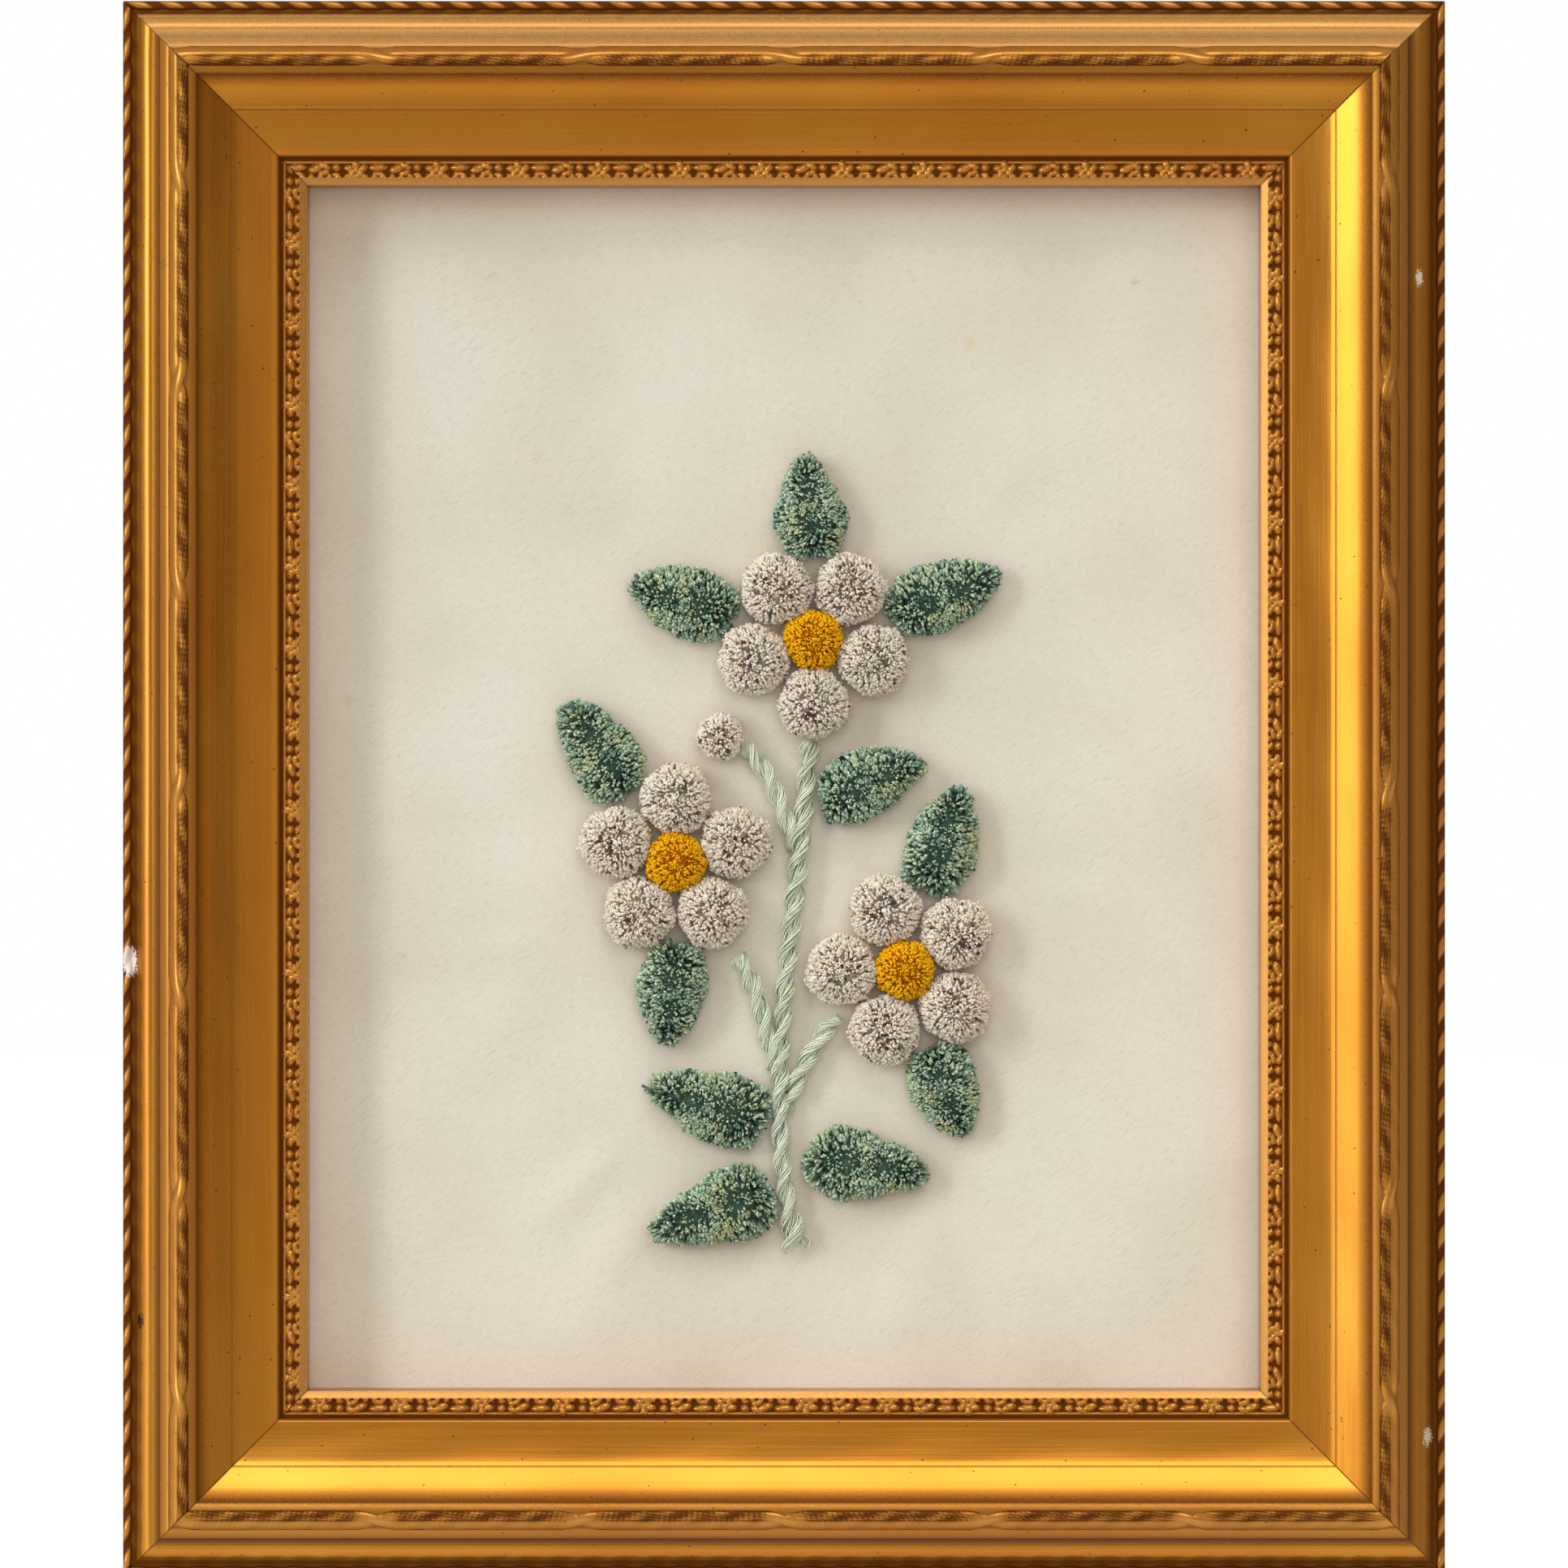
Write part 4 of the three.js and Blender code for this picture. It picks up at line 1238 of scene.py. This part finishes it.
def stem_frame(route):
    """Points at even steps along a stem, their sideways directions, and the length so far."""
    a, b, c, d = np.array(route, float)
    t = np.linspace(0, 1, 400)[:, None]
    fine = (1 - t) ** 3 * a + 3 * t * (1 - t) ** 2 * b + 3 * t**2 * (1 - t) * c + t**3 * d
    reach = np.concatenate([[0], np.cumsum(np.linalg.norm(np.diff(fine, axis=0), axis=1))])
    far = np.linspace(0, reach[-1], int(reach[-1] / STRAND_STEP) + 1)
    line = np.stack([np.interp(far, reach, fine[:, k]) for k in (0, 1)], axis=-1)
    ahead = unit(np.gradient(line, axis=0))
    return line, np.stack([-ahead[:, 1], ahead[:, 0]], axis=-1), far


def strand_tube(path, thick):
    """A three-sided tube along a path of (x, z, height) in millimetres."""
    ahead = unit(np.gradient(path, axis=0))
    side = unit(np.cross(ahead, [0.0, 0.0, 1.0]))
    up = np.cross(side, ahead)
    taper = np.ones(len(path))
    taper[[0, -1]] = 0.4
    rings = [
        path + (side * math.cos(a) + up * math.sin(a)) * (thick * taper)[:, None]
        for a in (math.pi / 2, math.pi * 7 / 6, math.pi * 11 / 6)
    ]
    return np.stack(rings, axis=1).reshape(-1, 3)


def stem_piece(name, route, material, seed):
    rng = np.random.default_rng(seed)
    line, side, far = stem_frame(route)
    is_main = name == "main"
    splay = 1.1 * soft_step(far, 9, 0) if is_main else np.zeros(len(far))
    sunk = np.zeros(len(far)) if is_main else 1.4 * soft_step(far, 5, 1)
    all_points, all_faces, tones, lit_shares = [], [], [], []
    for ply in (0, 1):
        turn = 2 * np.pi * far / PLY_PITCH + ply * np.pi
        for strand in range(STRANDS_PER_PLY):
            own = math.sqrt((strand + 0.5) / STRANDS_PER_PLY) * PLY_RADIUS
            own_turn = strand * GOLDEN_ANGLE + 1.2 * turn
            sideways = PLY_OFFSET * (1 + splay) * np.cos(turn) + own * np.cos(own_turn) * (1 + splay)
            upward = PLY_OFFSET * 0.9 * np.sin(turn) + own * np.sin(own_turn)
            shake = rng.normal(0, 0.05, (len(far), 2)).cumsum(axis=0) * 0.25
            plan = line + side * (sideways + shake[:, 0])[:, None]
            height = np.maximum(STEM_MIDDLE_HEIGHT + upward + shake[:, 1] - sunk, 0.3)
            cut = rng.integers(0, 4) if is_main else 0
            path = np.column_stack([plan, height])[cut:]
            points = strand_tube(path, STRAND_THICK * rng.uniform(0.8, 1.25))
            start = sum(map(len, all_points))
            all_faces += [[i + start for i in face] for face in tube_faces(len(path), 3)]
            all_points.append(points)
            tones.append(np.full(len(points), rng.uniform(0, 1)))
            # Painted shade: a strand deep in its ply or on its under side gets a low value, which the material
            # darkens towards the root colour.
            lit = np.clip(0.55 + 0.35 * own / PLY_RADIUS + 0.3 * np.sin(own_turn[cut:]), 0, 1)
            lit_shares.append(np.repeat(lit, 3))
    points = np.concatenate(all_points)
    world = on_cloth(points[:, :2], points[:, 2])
    values = {"tone": np.concatenate(tones), "along": np.concatenate(lit_shares)}
    node = "stem_" + name
    return new_piece(node + "_hair", world, all_faces, [material], [node], values)


stem_hair = dyed_hair(
    "pale_green_dyed_moose_hair",
    [(0.0, "#6F9A86"), (0.1, "#CFE0C6"), (0.4, "#F0F5DC"), (0.85, "#FAFCEA"), (1.0, "#FFFFF0")],
    "#CBDBC0",
    "#F0F3CC",
    0.55,
    sheen=0.35,
)
for seed, (name, route) in enumerate(STEMS.items()):
    stem_piece(name, route, stem_hair, 400 + seed)
print("stems:", list(STEMS))

# %% [markdown]
# Last, the number of faces in all the pieces. The visual model must stay in the imported model's
# box but for the little that fabric may stand proud.

# %% Faces in all
faces_made = sum(len(p.data.loop_triangles) or len(p.data.polygons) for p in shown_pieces() if p.type == "MESH")
print("faces in all:", faces_made)
